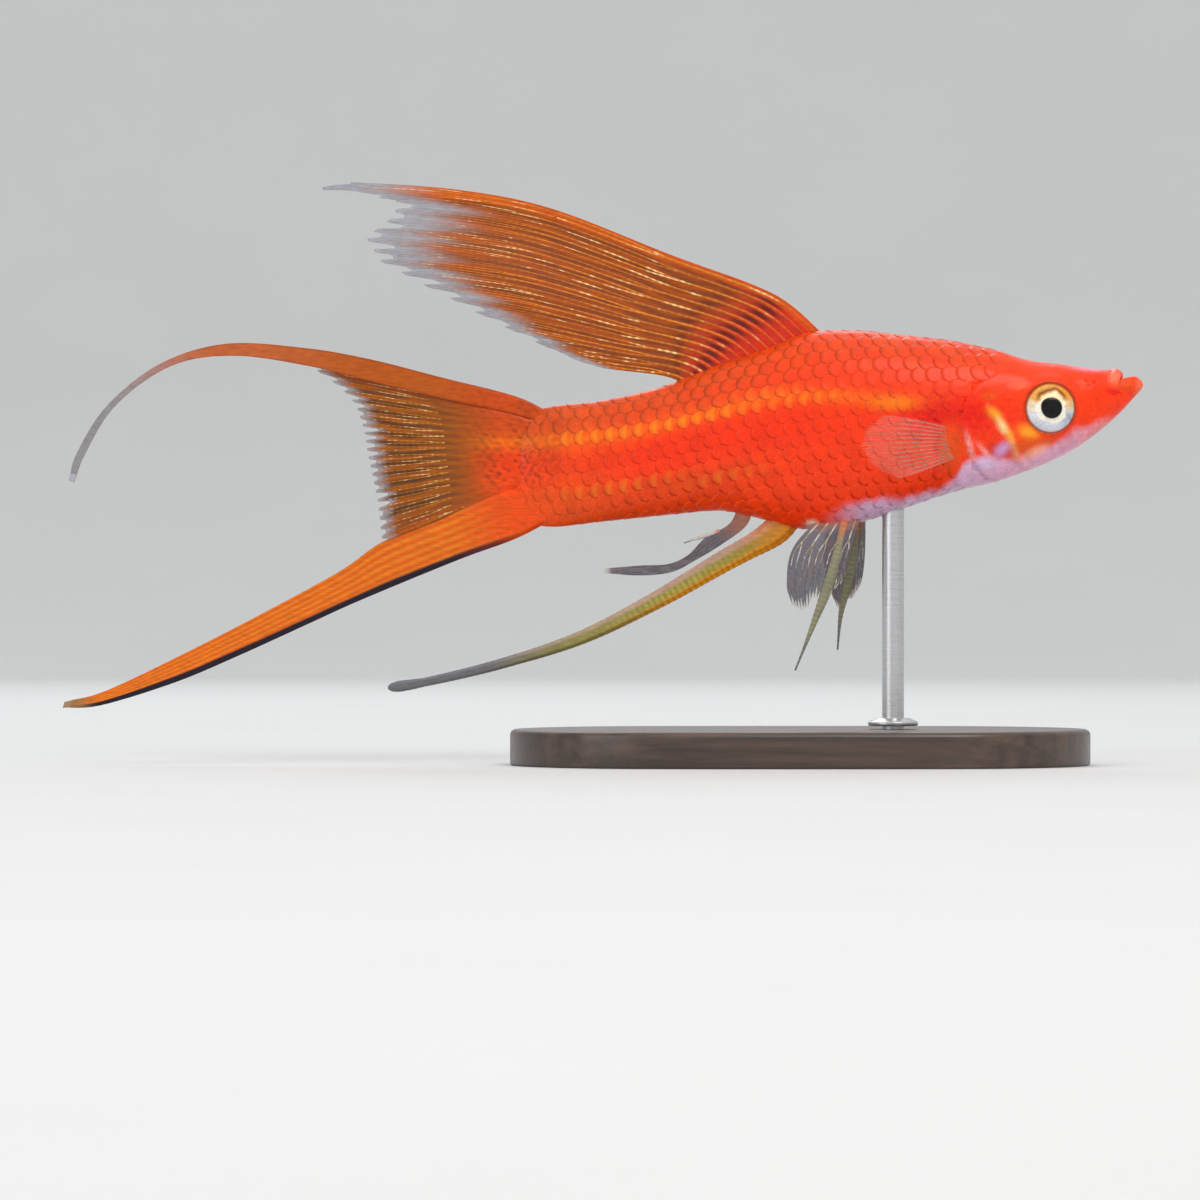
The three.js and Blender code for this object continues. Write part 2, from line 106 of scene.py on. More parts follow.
RAY_GLINT = rgb(255, 222, 150)
RAY_DARK = rgb(128, 52, 10)
TIP_BROWN = rgb(166, 122, 78)
STALK_DULL = rgb(206, 76, 18)
TIP_GREY = rgb(162, 162, 170)
SWORD_ORANGE = rgb(218, 90, 10)
SWORD_BRIGHT = rgb(228, 134, 30)
SWORD_BORDER = rgb(32, 22, 38)
STREAMER_BROWN = rgb(190, 96, 50)
SMOKE = rgb(96, 92, 106)
RAY_GREEN = rgb(132, 130, 98)
RAY_WHITE = rgb(226, 222, 214)
GREY_PINK = rgb(188, 150, 140)
SLATE = rgb(92, 98, 112)


# Shapes shared with the frame

BODY_STATIONS = np.array([
    # back x, back z, belly x, belly z, side x, side y, side z, roundness
    (-28.8, 29.7, -28.8, 29.7, -28.8, 0.0, 29.7, 1.0),
    (-28.2, 33.0, -28.2, 26.4, -28.5, 0.35, 29.7, 1.0),
    (-26.8, 35.3, -26.8, 24.2, -27.2, 0.9, 29.7, 1.0),
    (-24.5, 36.0, -24.5, 23.7, -24.5, 1.45, 29.8, 1.0),
    (-20.0, 36.5, -20.0, 24.2, -20.0, 2.1, 30.2, 1.0),
    (-14.0, 37.9, -14.0, 24.8, -14.0, 2.8, 31.2, 1.0),
    (-8.0, 40.2, -8.0, 25.3, -8.0, 3.5, 32.5, 1.0),
    (-3.5, 41.7, -3.5, 24.4, -3.5, 4.05, 33.3, 1.0),
    (0.5, 43.3, 0.0, 23.5, 0.5, 4.5, 33.8, 1.0),
    (5.0, 43.6, 5.0, 23.9, 5.0, 4.85, 34.2, 0.98),
    (10.0, 43.15, 10.0, 25.4, 10.0, 5.0, 34.6, 0.95),
    (15.0, 42.55, 15.0, 27.1, 15.0, 4.95, 34.8, 0.92),
    (19.5, 41.6, 19.5, 28.2, 19.5, 4.7, 35.0, 0.88),
    (22.8, 40.6, 23.5, 29.6, 23.3, 4.3, 35.3, 0.84),
    (26.0, 40.2, 26.8, 31.1, 26.5, 3.85, 35.6, 0.8),
    (28.8, 39.8, 29.6, 33.0, 29.2, 3.1, 36.2, 0.78),
    (30.6, 39.65, 31.7, 34.8, 30.9, 2.45, 36.9, 0.76),
    (31.6, 39.75, 33.2, 36.4, 31.6, 2.1, 37.4, 0.75),
    (32.25, 39.3, 34.3, 37.8, 31.8, 1.85, 37.9, 0.75),
    (32.2, 38.75, 33.5, 38.75, 31.5, 1.35, 38.1, 0.8),
    (31.7, 38.45, 32.1, 38.25, 31.2, 0.8, 38.15, 0.9),
    (30.8, 38.1, 30.8, 38.1, 30.8, 0.0, 38.1, 1.0),
])

EYE_CENTRE = np.array([24.7, 3.2, 35.57])
EYE_RADIUS = 2.7
EYE_HALF_DEPTH = 1.6
EYE_LEAN = math.radians(6)

# Lines on the side of the fish, as x and z
LINE_PLACES = 120
GILL_EDGE = [(19.4, 39.0), (17.4, 37.8), (16.3, 36.0), (16.0, 34.0), (16.4, 32.4), (16.8, 31.2),
             (17.4, 29.8), (18.8, 28.6), (21.2, 28.0)]
CHEEK_RIDGE = [(18.4, 35.6), (19.4, 34.5), (20.5, 33.1), (21.1, 31.9), (21.5, 30.6), (22.8, 29.5)]
LIP_FOLD = [(31.2, 39.7), (30.8, 38.9), (30.65, 38.2), (31.0, 37.5), (31.7, 37.1)]
CHIN_FOLD = [(31.3, 37.3), (32.4, 36.9), (33.4, 36.9)]
LILAC_EDGE = [(1.0, 24.2), (5.0, 26.3), (9.5, 26.5), (11.9, 27.1), (14.4, 27.9), (15.6, 29.0),
              (16.6, 30.4), (20.5, 30.8), (23.4, 31.3), (25.6, 32.4), (26.9, 33.3), (28.5, 34.0),
              (31.8, 35.1), (34.4, 36.2)]
MID_LINE = [(-28.5, 32.2), (-22.0, 32.6), (-15.6, 33.5), (-12.8, 34.2), (-10.1, 34.9), (-6.9, 35.7),
            (-3.5, 36.6), (1.0, 36.9), (6.0, 36.6), (12.0, 36.2), (19.0, 36.0)]


def smooth(value, low, high):
    """0 below low, 1 above high and 3t squared minus 2t cubed between them; low may be the greater."""
    t = np.clip((np.asarray(value, float) - low) / (high - low), 0.0, 1.0)
    return t * t * (3.0 - 2.0 * t)


def between(first, second, share):
    """first, going over to second as share goes from 0 to 1, for plain numbers."""
    return first + (second - first) * share


def mix(first, second, share):
    """The same for colours and points: one share for the three numbers of each."""
    return between(np.asarray(first, float), np.asarray(second, float), np.asarray(share, float)[..., None])


def bell(value, centre, width):
    """A bell curve, 1 at centre and a third of that at width away from it."""
    return np.exp(-((value - centre) / width) ** 2)


def full_turn(count):
    """Even steps round a full turn, without its end."""
    return np.arange(count) * 2.0 * math.pi / count


def joints(run, spacing):
    """A wave from 0 to 1, which is 1 at the joints of a ray: half of one plus the cosine, with the joints
    spacing apart along the run."""
    return 0.5 + 0.5 * np.cos(2.0 * math.pi * run / spacing)


def ripple(points, size, seed):
    """Soft unevenness from -1 to 1: the mean of six sine waves, each along its own seeded direction."""
    source = np.random.default_rng(seed)
    total = np.zeros(points.shape[:-1])
    for _ in range(6):
        direction = source.normal(size=3)
        direction /= np.linalg.norm(direction) * size * source.uniform(0.7, 1.5)
        total += np.sin(points @ direction * 2.0 * math.pi + source.uniform(0.0, 2.0 * math.pi))
    return total / 3.0


def smooth_curve(points, place):
    """The Catmull-Rom cubic through points, at place from 0 to 1 shared evenly among its stretches; each
    stretch is bent by the points before and after it, and the ends are carried on by reflection."""
    points = np.asarray(points, float)
    points = np.vstack([2 * points[0] - points[1], points, 2 * points[-1] - points[-2]])
    stretches = len(points) - 3
    run = np.clip(np.asarray(place, float), 0.0, 1.0) * stretches
    index = np.minimum(run.astype(int), stretches - 1)
    t = (run - index)[..., None]
    a, b, c, d = points[index], points[index + 1], points[index + 2], points[index + 3]
    square = (2 * a - 5 * b + 4 * c - d) * t ** 2
    cube = (3 * b - a - 3 * c + d) * t ** 3
    return 0.5 * (2 * b + (c - a) * t + square + cube)


def curve_by_length(points, share):
    """The same cubic, at share from 0 to 1 of its length."""
    dense = np.linspace(0.0, 1.0, 40 * len(points))
    steps = np.linalg.norm(np.diff(smooth_curve(points, dense), axis=0), axis=1)
    lengths = np.concatenate([[0.0], np.cumsum(steps)])
    place = np.interp(np.clip(share, 0.0, 1.0) * lengths[-1], lengths, dense)
    return smooth_curve(points, place)


def body_point(along, around, swell=0.0):
    """A point of the body. along goes from 0 at the tail to 1 in the mouth; around is 0 on the back, a
    quarter turn on the left side and a half turn on the belly; swell is how far out from the solids it is.
    Across, a section is the side's width times sine to the roundness, and upwards the back's or belly's
    height times cosine to the roundness, so a section is a superellipse in two halves."""
    station = smooth_curve(BODY_STATIONS, along)
    across = np.sin(around)
    upward = np.cos(around)
    edge_x = np.where(upward > 0, station[..., 0], station[..., 2])
    edge_z = np.where(upward > 0, station[..., 1], station[..., 3])
    side_x, side_y, side_z, roundness = (station[..., k] for k in range(4, 8))
    x = side_x + (edge_x - side_x) * upward ** 2
    y = np.sign(across) * (np.maximum(side_y, 0.0) + swell) * np.abs(across) ** roundness
    z = side_z + (edge_z + np.sign(upward) * swell - side_z) * np.abs(upward) ** roundness
    return np.stack([x, y, z], -1)


def surface_normals(points, closed=False):
    """Unit normals of a grid of points: its change down the rows crossed with its change along a row."""
    down = np.gradient(points, axis=0)
    if closed:
        along = np.roll(points, -1, axis=1) - np.roll(points, 1, axis=1)
    else:
        along = np.gradient(points, axis=1)
    normals = np.cross(down, along)
    return normals / np.maximum(np.linalg.norm(normals, axis=-1, keepdims=True), 1e-9)


def line_distance(x, z, line):
    """Distance in the side view from each point to the nearest of LINE_PLACES places on a line."""
    dots = smooth_curve(line, np.linspace(0.0, 1.0, LINE_PLACES))
    nearest = np.full(np.shape(x), 1e9)
    for dot in dots:
        nearest = np.minimum(nearest, (x - dot[0]) ** 2 + (z - dot[1]) ** 2)
    return np.sqrt(nearest)


def gill_at(z):
    """How far forward the gill cover's edge is at each height."""
    dots = smooth_curve(GILL_EDGE, np.linspace(0.0, 1.0, LINE_PLACES))[::-1]
    return np.interp(z, dots[:, 1], dots[:, 0])


# Meshes

def grid_faces(rows, columns, closed=False, start=0):
    """Four-cornered faces of a grid of points; closed joins the last column to the first."""
    index = start + np.arange(rows * columns).reshape(rows, columns)
    left = index if closed else index[:, :-1]
    right = np.roll(index, -1, axis=1) if closed else index[:, 1:]
    return np.stack([left[:-1], left[1:], right[1:], right[:-1]], -1).reshape(-1, 4)


def fan_faces(ring, pole):
    """Triangles from a pole to a closed ring of points."""
    return np.stack([np.full(len(ring), pole), ring, np.roll(ring, -1)], -1)


def tube_faces(rows, columns):
    """Faces of a closed tube: the wall through its rings, and a fan to a pole at each end, where the two
    poles follow the rings' points."""
    count = rows * columns
    column = np.arange(columns)
    far = (column + count - columns)[::-1]
    triangles = np.concatenate([fan_faces(column, count), fan_faces(far, count + 1)])
    return grid_faces(rows, columns, closed=True), triangles


def plate_faces(rows, columns):
    """Faces of a closed plate: one grid of points, a second below it, and a strip round their margin."""
    count = rows * columns
    index = np.arange(count).reshape(rows, columns)
    margin = np.concatenate([index[0, :-1], index[:-1, -1], index[-1, :0:-1], index[:0:-1, 0]])
    following = np.roll(margin, -1)
    strip = np.stack([margin, following, following + count, margin + count], -1)
    top = grid_faces(rows, columns)
    bottom = grid_faces(rows, columns, start=count)[:, ::-1]
    return np.concatenate([top, bottom, strip])


def make_piece(name, points, quads, triangles=(), layers=None, flat_maps=None):
    """A mesh object at the origin, from points in millimetres and faces as point numbers. layers are
    values for each point, kept as attributes, and flat_maps are UV maps with a place for each point."""
    quads = np.asarray(quads, np.int32).reshape(-1, 4)
    triangles = np.asarray(triangles, np.int32).reshape(-1, 3)
    corners = np.concatenate([quads.ravel(), triangles.ravel()]).astype(np.int32)
    sizes = np.concatenate([np.full(len(quads), 4), np.full(len(triangles), 3)])
    starts = np.concatenate([[0], np.cumsum(sizes)[:-1]]).astype(np.int32)
    mesh = bpy.data.meshes.new(name)
    mesh.vertices.add(len(points))
    mesh.vertices.foreach_set("co", (np.asarray(points) * MM).astype(np.float32).ravel())
    mesh.loops.add(len(corners))
    mesh.loops.foreach_set("vertex_index", corners)
    mesh.polygons.add(len(sizes))
    mesh.polygons.foreach_set("loop_start", starts)
    mesh.update(calc_edges=True)
    if mesh.validate():
        raise RuntimeError(name + " has faces that aren't sound")
    mesh.shade_smooth()
    for layer_name, values in (layers or {}).items():
        values = np.asarray(values, float)
        if values.ndim == 2:
            layer = mesh.attributes.new(layer_name, "FLOAT_COLOR", "POINT")
            rgba = np.concatenate([np.clip(values, 0.0, 1.0), np.ones((len(values), 1))], axis=1)
            layer.data.foreach_set("color", rgba.astype(np.float32).ravel())
        else:
            layer = mesh.attributes.new(layer_name, "FLOAT", "POINT")
            layer.data.foreach_set("value", values.astype(np.float32))
    for map_name, places in (flat_maps or {}).items():
        corner_places = unwrapped(np.asarray(places, float)[corners], sizes)
        layer = mesh.uv_layers.new(name=map_name)
        layer.data.foreach_set("uv", corner_places.astype(np.float32).ravel())
    piece = bpy.data.objects.new(name, mesh)
    bpy.context.scene.collection.objects.link(piece)
    return piece


def unwrapped(places, sizes):
    """UV places of face corners, where a face that crosses the unwrap's seam is kept on its far side."""
    face = np.repeat(np.arange(len(sizes)), sizes)
    lowest = np.full(len(sizes), np.inf)
    highest = np.full(len(sizes), -np.inf)
    np.minimum.at(lowest, face, places[:, 1])
    np.maximum.at(highest, face, places[:, 1])
    crosses = (highest - lowest > 0.5)[face] & (places[:, 1] < 0.5)
    places = places.copy()
    places[crosses, 1] += 1.0
    places[:, 1] *= 0.996
    return places


def settle(piece, material, nodes=()):
    """Gives a piece its material and its body, and hides the nodes that it stands for."""
    piece.data.materials.append(material)
    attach(piece, "root")
    if nodes:
        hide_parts(*nodes)


def closed_plate(points, thickness):
    """A thin closed plate about a grid of points, whose two faces stand half the thickness off the grid
    along its normals. Returns points, faces and, for each point, the number of its grid point."""
    rows, columns = points.shape[:2]
    offset = surface_normals(points) * thickness[..., None] * 0.5
    upper = (points + offset).reshape(-1, 3)
    lower = (points - offset).reshape(-1, 3)
    source = np.tile(np.arange(rows * columns), 2)
    return np.concatenate([upper, lower]), plate_faces(rows, columns), source


def tube_set(centres, radii, sides=6, squash=1.0):
    """Closed tubes along many lines at once. centres has a row of points for each tube; a section is a ring
    about each centre: radius times cosine across the line in the fin's plane, and radius times squash times
    sine towards the fish's side. The ends close on a pole each.
    Returns points, four-cornered faces, triangles, and the tube and row of every point."""
    tubes, rows = centres.shape[:2]
    run = np.gradient(centres, axis=1)
    run /= np.maximum(np.linalg.norm(run, axis=-1, keepdims=True), 1e-9)
    across = np.cross(run, SIDEWAYS)
    across /= np.maximum(np.linalg.norm(across, axis=-1, keepdims=True), 1e-9)
    raised = np.cross(across, run)
    turn = full_turn(sides)
    ring = (across[:, :, None] * np.cos(turn)[:, None]
            + raised[:, :, None] * np.sin(turn)[:, None] * squash) * radii[..., None, None]
    points = centres[:, :, None] + ring
    one = grid_faces(rows, sides, closed=True)
    quads = (one[None] + np.arange(tubes)[:, None, None] * rows * sides).reshape(-1, 4)
    poles = np.concatenate([centres[:, 0], centres[:, -1]])
    start = tubes * rows * sides
    column = np.arange(sides)
    first_ring = np.arange(tubes)[:, None] * rows * sides + column
    last_ring = first_ring + (rows - 1) * sides
    following = np.roll(column, -1)
    caps_first = np.stack([np.broadcast_to(start + np.arange(tubes)[:, None], first_ring.shape),
                           first_ring, first_ring[:, following]], -1)
    caps_last = np.stack([np.broadcast_to(start + tubes + np.arange(tubes)[:, None], last_ring.shape),
                          last_ring[:, following], last_ring], -1)
    triangles = np.concatenate([caps_first.reshape(-1, 3), caps_last.reshape(-1, 3)])
    tube_of = np.concatenate([np.repeat(np.arange(tubes), rows * sides), np.tile(np.arange(tubes), 2)])
    row_of = np.concatenate([np.tile(np.repeat(np.arange(rows), sides), tubes),
                             np.zeros(tubes, int), np.full(tubes, rows - 1)])
    return np.concatenate([points.reshape(-1, 3), poles]), quads, triangles, tube_of, row_of


# Colours of the body, the same for skin and scales

TAIL_BASE_Z = 30.0
TAIL_BASE_HALF = 6.5
MARKS = [
    # x, z, half length, half height, turn in degrees, colour, strength
    (14.6, 34.8, 5.6, 2.2, 0, DEEP_RED, 0.85),
    # painted glint: yellow on the middle line
    (9.2, 36.0, 2.4, 0.7, 0, LINE_GLINT_YELLOW, 0.45),
    (14.9, 31.8, 1.2, 2.4, 0, SWORD_ORANGE, 0.6),
    (13.4, 31.8, 0.3, 2.4, 0, DEEP_RED, 0.9),
    (18.7, 36.7, 0.8, 0.5, 0, TAIL_ORANGE, 0.7),
    (21.8, 37.9, 0.8, 0.5, 0, TAIL_ORANGE, 0.7),
    (19.2, 35.0, 0.9, 0.5, -40, GOLD, 0.75),
    (20.0, 33.7, 1.0, 0.42, -58, CREAM, 0.9),
    (20.9, 32.3, 1.2, 0.4, -72, GOLD, 0.8),
    (21.3, 31.1, 0.7, 0.4, -80, PEACH, 0.7),
    (19.8, 31.3, 1.3, 0.8, 0, MAROON, 0.6),
    (20.0, 31.5, 1.0, 0.6, 35, GLINT_LILAC, 0.6),
    (16.75, 31.7, 1.5, 0.26, -74, PALE_PINK, 0.85),
    (18.3, 31.2, 1.2, 0.24, -48, PALE_PINK, 0.75),
    (18.4, 30.2, 1.0, 0.6, 0, SILVER_LILAC, 0.8),
    (22.6, 33.2, 1.1, 0.7, -20, GOLD, 0.75),
    (22.2, 31.9, 1.3, 0.8, 10, SWORD_ORANGE, 0.75),
    (24.4, 32.3, 1.0, 0.35, 20, SWORD_ORANGE, 0.5),
    (23.2, 31.2, 1.5, 0.5, 28, PEACH, 0.75),
    # painted sheen: a lilac highlight along the top of the head
    (28.8, 39.7, 1.7, 0.4, -4, SILVER_LILAC, 0.4),
    (31.4, 38.8, 0.75, 0.9, 0, LIP_PINK, 0.9),
    (33.9, 37.7, 0.5, 1.3, -10, LIP_PINK, 0.7),
    (32.6, 38.1, 0.8, 0.6, 20, SWORD_ORANGE, 0.6),
    # painted shade in the corner of the mouth, under the join of the lips
    (31.15, 37.2, 0.7, 0.3, -12, DEEP_RED, 1.0),
    (1.1, 24.1, 0.6, 0.4, 10, WHITE_BUMP, 0.95),
]


def upward_of(points):
    """How near the back, at 1, or the belly, at -1, a point over the tail's base lies."""
    return np.clip((points[..., 2] - TAIL_BASE_Z) / TAIL_BASE_HALF, -1.0, 1.0)


def height_on(line, x):
    """Height of a line drawn from tail to snout at each x."""
    dots = smooth_curve(line, np.linspace(0.0, 1.0, 200))
    return np.interp(x, dots[:, 0], dots[:, 1])


def body_paint(points, upward):
    """Colour of each point of the body from its place in the side view, and from upward, which is 1 on the
    back's ridge and -1 under the belly: red flesh, with soft bands and elliptical marks mixed in. Among them
    are painted glints along the middle line, on the gill cover and along the top of the head, and painted
    shade in the corner of the mouth."""
    x = points[..., 0]
    z = points[..., 2]
    uneven = ripple(points, 2.2, 11)
    fine = ripple(points, 0.7, 12)
    back = smooth(upward + 0.12 * uneven, 0.45, 0.95) * smooth(x, 25.0, 16.0)
    paint = mix(FLESH_RED, BACK_RED, back * 0.8)
    paint = mix(paint, TAIL_ORANGE, smooth(x, -14.0, -24.0) * 0.55)
    paint = mix(paint, DEEP_RED, bell(upward, 0.02, 0.3) * smooth(x, 12.0, -4.0) * 0.3)
    spots = np.clip(ripple(points, 0.62, 13) * 1.8 - 0.4, 0.0, 1.0)
    tail_root = smooth(x, -21.0, -28.0)
    paint = mix(paint, OLIVE_EDGE, tail_root * smooth(z, 29.0, 35.0) * 0.42)
    paint = mix(paint, TAIL_BROWN, spots * tail_root * smooth(z, 25.5, 29.5) * 0.6)
    over_line = z - height_on(MID_LINE, x)
    line = np.abs(over_line)
    stalk = smooth(x, 4.0, -14.0)
    paint = mix(paint, STALK_DULL, stalk * smooth(over_line, 0.0, 1.6) * 0.5)
    paint = mix(paint, STALK_DULL, stalk * smooth(over_line, -4.6, -5.8) * 0.4)
    # painted glint: a yellow band along the side's middle line, where its scales catch the light
    paint = mix(paint, LINE_GLINT_YELLOW, bell(line, 0.0, 0.75) * smooth(x, 17.0, 10.0) * (0.25 + 0.1 * fine))
    belly = height_on(LILAC_EDGE, x) - z + 0.22 * uneven
    under = smooth(belly, -0.4, 0.7) * smooth(x, 1.5, 7.0)
    under_colour = mix(LILAC, SILVER_LILAC, smooth(x + 2.0 * fine, 24.0, 14.0) * 0.8)
    under_colour = mix(under_colour, CHIN_PINK, smooth(x, 25.5, 30.5) * 0.85)
    paint = mix(paint, under_colour, under * (0.92 + 0.08 * fine))
    for mark_x, mark_z, half_length, half_height, turn, colour, strength in MARKS:
        angle = math.radians(turn)
        run = (x - mark_x) * math.cos(angle) + (z - mark_z) * math.sin(angle)
        rise = (z - mark_z) * math.cos(angle) - (x - mark_x) * math.sin(angle)
        reach = (run / half_length) ** 2 + (rise / half_height) ** 2 + 0.18 * fine
        paint = mix(paint, colour, np.exp(-np.clip(reach, 0.0, 30.0) ** 1.4) * strength)
    return np.clip(paint * (1.0 + 0.05 * fine + 0.05 * uneven)[..., None], 0.0, 1.0)


# Skin

SKIN_SWELL = -0.12
SKIN_ROWS = 362
SKIN_COLUMNS = 236
LID_RADIUS = 2.5
CHEEK_REACH = 3.7
SOCKET_BROWN = rgb(150, 58, 20)
MOUTH_RED = rgb(120, 30, 24)
NOSTRILS = ((28.5, 38.35), (29.25, 38.2))


def eye_axes(side):
    """The eye's centre, the axis it looks along, and the two directions across it, forward and up."""
    centre = EYE_CENTRE * np.array([1.0, side, 1.0])
    axis = np.array([math.sin(EYE_LEAN), side * math.cos(EYE_LEAN), 0.0])
    forward = np.array([math.cos(EYE_LEAN), -side * math.sin(EYE_LEAN), 0.0])
    return centre, axis, forward, np.array([0.0, 0.0, 1.0])


def eye_height(radius):
    """Height of the eyeball's surface over its centre: half its depth times the root of one minus the
    square of the radius as a share of the eye's own."""
    return EYE_HALF_DEPTH * np.sqrt(np.clip(1.0 - (radius / EYE_RADIUS) ** 2, 0.0, 1.0))


def seat_eye(points, side):
    """Moves skin near an eye along the eye's axis: inside the lids it drops behind the eyeball, at their
    rim it folds just over it, and from there it runs out into the cheek."""
    centre, axis, _, _ = eye_axes(side)
    offset = points - centre
    height = offset @ axis
    radius = np.linalg.norm(offset - height[..., None] * axis, axis=-1)
    rim = eye_height(LID_RADIUS) + 0.06
    fold = 0.09 * bell(radius, LID_RADIUS + 0.16, 0.17)
    outside = between(height, rim, smooth(radius, CHEEK_REACH, LID_RADIUS) * 0.85) + fold
    inside = between(rim, eye_height(radius) - 0.45, smooth(radius, LID_RADIUS, LID_RADIUS - 0.28))
    wanted = np.where(radius > LID_RADIUS, outside, inside)
    near = (points[..., 1] * side > 0.6) & (radius < CHEEK_REACH)
    return points + np.where(near, wanted - height, 0.0)[..., None] * axis


def skin_relief(points):
    """How far the skin stands out from its plain surface: a step at the gill cover's edge, a ridge on the
    cheek, folds at the lips, nostrils, the fleshy base of the pectoral fin and fine unevenness."""
    x = points[..., 0]
    z = points[..., 2]
    side = smooth(np.abs(points[..., 1]), 0.5, 1.2)
    edge = line_distance(x, z, GILL_EDGE)
    cover = np.where(x > gill_at(z), 0.16 * np.exp(-(edge / 2.2)), -0.1 * bell(edge, 0.12, 0.35))
    relief = cover * side * smooth(z, 40.2, 38.6)
    relief += 0.09 * bell(line_distance(x, z, CHEEK_RIDGE), 0.0, 0.3) * side
    relief -= 0.06 * bell(line_distance(x, z, CHEEK_RIDGE), 0.55, 0.25) * side
    relief -= 0.13 * bell(line_distance(x, z, LIP_FOLD), 0.0, 0.17) * side
    relief -= 0.06 * bell(line_distance(x, z, CHIN_FOLD), 0.0, 0.22) * side
    for nostril_x, nostril_z in NOSTRILS:
        away = np.hypot(x - nostril_x, z - nostril_z)
        relief += (0.06 * bell(away, 0.3, 0.13) - 0.2 * bell(away, 0.0, 0.17)) * side
    lobe = np.exp(-((x - 14.9) / 1.1) ** 2 - ((z - 31.8) / 2.1) ** 4)
    relief += 0.07 * lobe * side
    relief += 0.05 * bell(np.hypot(x - 1.1, z - 24.1), 0.0, 0.6)
    return relief + 0.008 * ripple(points, 1.1, 21) * side


def build_skin(settings):
    """One closed skin over head, jaw, gill covers, trunk and tail stalk: body_point on a grid of rows from
    the tail to the mouth, moved out along its normals by skin_relief, and set back round both eyes."""
    along = np.linspace(0.0, 1.0, SKIN_ROWS)[1:-1]
    around = -math.pi + full_turn(SKIN_COLUMNS)
    along_grid, around_grid = np.meshgrid(along, around, indexing="ij")
    plain = body_point(along_grid, around_grid, SKIN_SWELL)
    taper = smooth(along_grid, 0.0, 0.04) * smooth(along_grid, 0.985, 0.95)
    points = plain + surface_normals(plain, closed=True) * (skin_relief(plain) * taper)[..., None]
    for side in SIDES.values():
        points = seat_eye(points, side)
    poles = np.stack([body_point(0.0, 0.0), body_point(1.0, 0.0)])
    paint = body_paint(plain, np.cos(around_grid))
    socket = np.zeros(plain.shape[:2])
    for side in SIDES.values():
        centre, axis, _, _ = eye_axes(side)
        offset = plain - centre
        radius = np.linalg.norm(offset - (offset @ axis)[..., None] * axis, axis=-1)
        near = plain[..., 1] * side > 0.5
        socket = np.maximum(socket, np.where(near, smooth(radius, 2.95, 2.55), 0.0))
    paint = mix(paint, SOCKET_BROWN, socket * 0.6)
    paint = mix(paint, MOUTH_RED, smooth(along_grid, 0.962, 0.99) * 0.8)
    quads, triangles = tube_faces(len(along), SKIN_COLUMNS)
    places = np.stack([along_grid, (around_grid + math.pi) / (2.0 * math.pi)], -1).reshape(-1, 2)
    places = np.concatenate([places, [[0.0, 0.5], [1.0, 0.5]]])
    paint = np.concatenate([paint.reshape(-1, 3), [TAIL_ORANGE, MOUTH_RED]])
    skin = make_piece("fish_skin", np.concatenate([points.reshape(-1, 3), poles]), quads, triangles,
                      {"paint": paint}, {"OFBake": places})
    material = wet_skin("wet_red_skin", settings, pore_size=0.35, pore_depth=0.035)
    settle(skin, material,
           ("head", "lower_jaw", "gill_cover_left", "gill_cover_right", "trunk", "tail_stalk"))


# Scales

SCALE_LENGTH_ROWS = 8
SCALE_WIDTH_ROWS = 7
SCALE_PITCHES = 1.62
SCALE_SPACINGS = 0.72
SCALE_THICKNESS = 0.018
SIDE_LIFT = 0.003
NAPE_Z = 38.6
PATCH = 0.003


def scale_roots(side, pitch, spacing):
    """Roots of one side's scales, as places along and around the body: rows a spacing apart round the
    body from the side's middle line, pitch apart along it, each shifted by half a pitch from the next,
    from the tail's base to the gill cover and over the nape."""
    dense = np.linspace(0.055, 0.66, 900)
    middle = body_point(dense, np.full(dense.shape, side * math.pi / 2))
    run = np.concatenate([[0.0], np.cumsum(np.linalg.norm(np.diff(middle, axis=0), axis=1))])
    ring = np.linspace(0.0, math.pi, 361)
    places = []
    for column, distance in enumerate(np.arange(0.6, run[-1], pitch / 2)):
        along = np.interp(distance, run, dense)
        section = body_point(np.full(ring.shape, along), side * ring)
        girth = np.concatenate([[0.0], np.cumsum(np.linalg.norm(np.diff(section, axis=0), axis=1))])
        from_middle = np.interp(math.pi / 2, ring, girth) - girth
        rows = np.arange(-20, 21)
        rows = rows[(rows + column) % 2 == 0]
        wanted = rows * spacing
        inside = (wanted < from_middle[0] + 0.2 * spacing) & (wanted > from_middle[-1] - 0.2 * spacing)
        around = np.interp(-wanted, -from_middle, ring)
        for turn in around[inside]:
            places.append((along, side * turn))
    places = np.array(places)
    root = body_point(places[:, 0], places[:, 1])
    x, z = root[:, 0], root[:, 2]
    keep = np.where(z > NAPE_Z, x < 22.6 - 0.5 * (41.0 - z), x < gill_at(z) + 0.15)
    lobe = ((x - 14.7) / 1.5) ** 2 + ((z - 31.8) / 2.4) ** 2 < 1.0
    return places[keep & ~lobe]


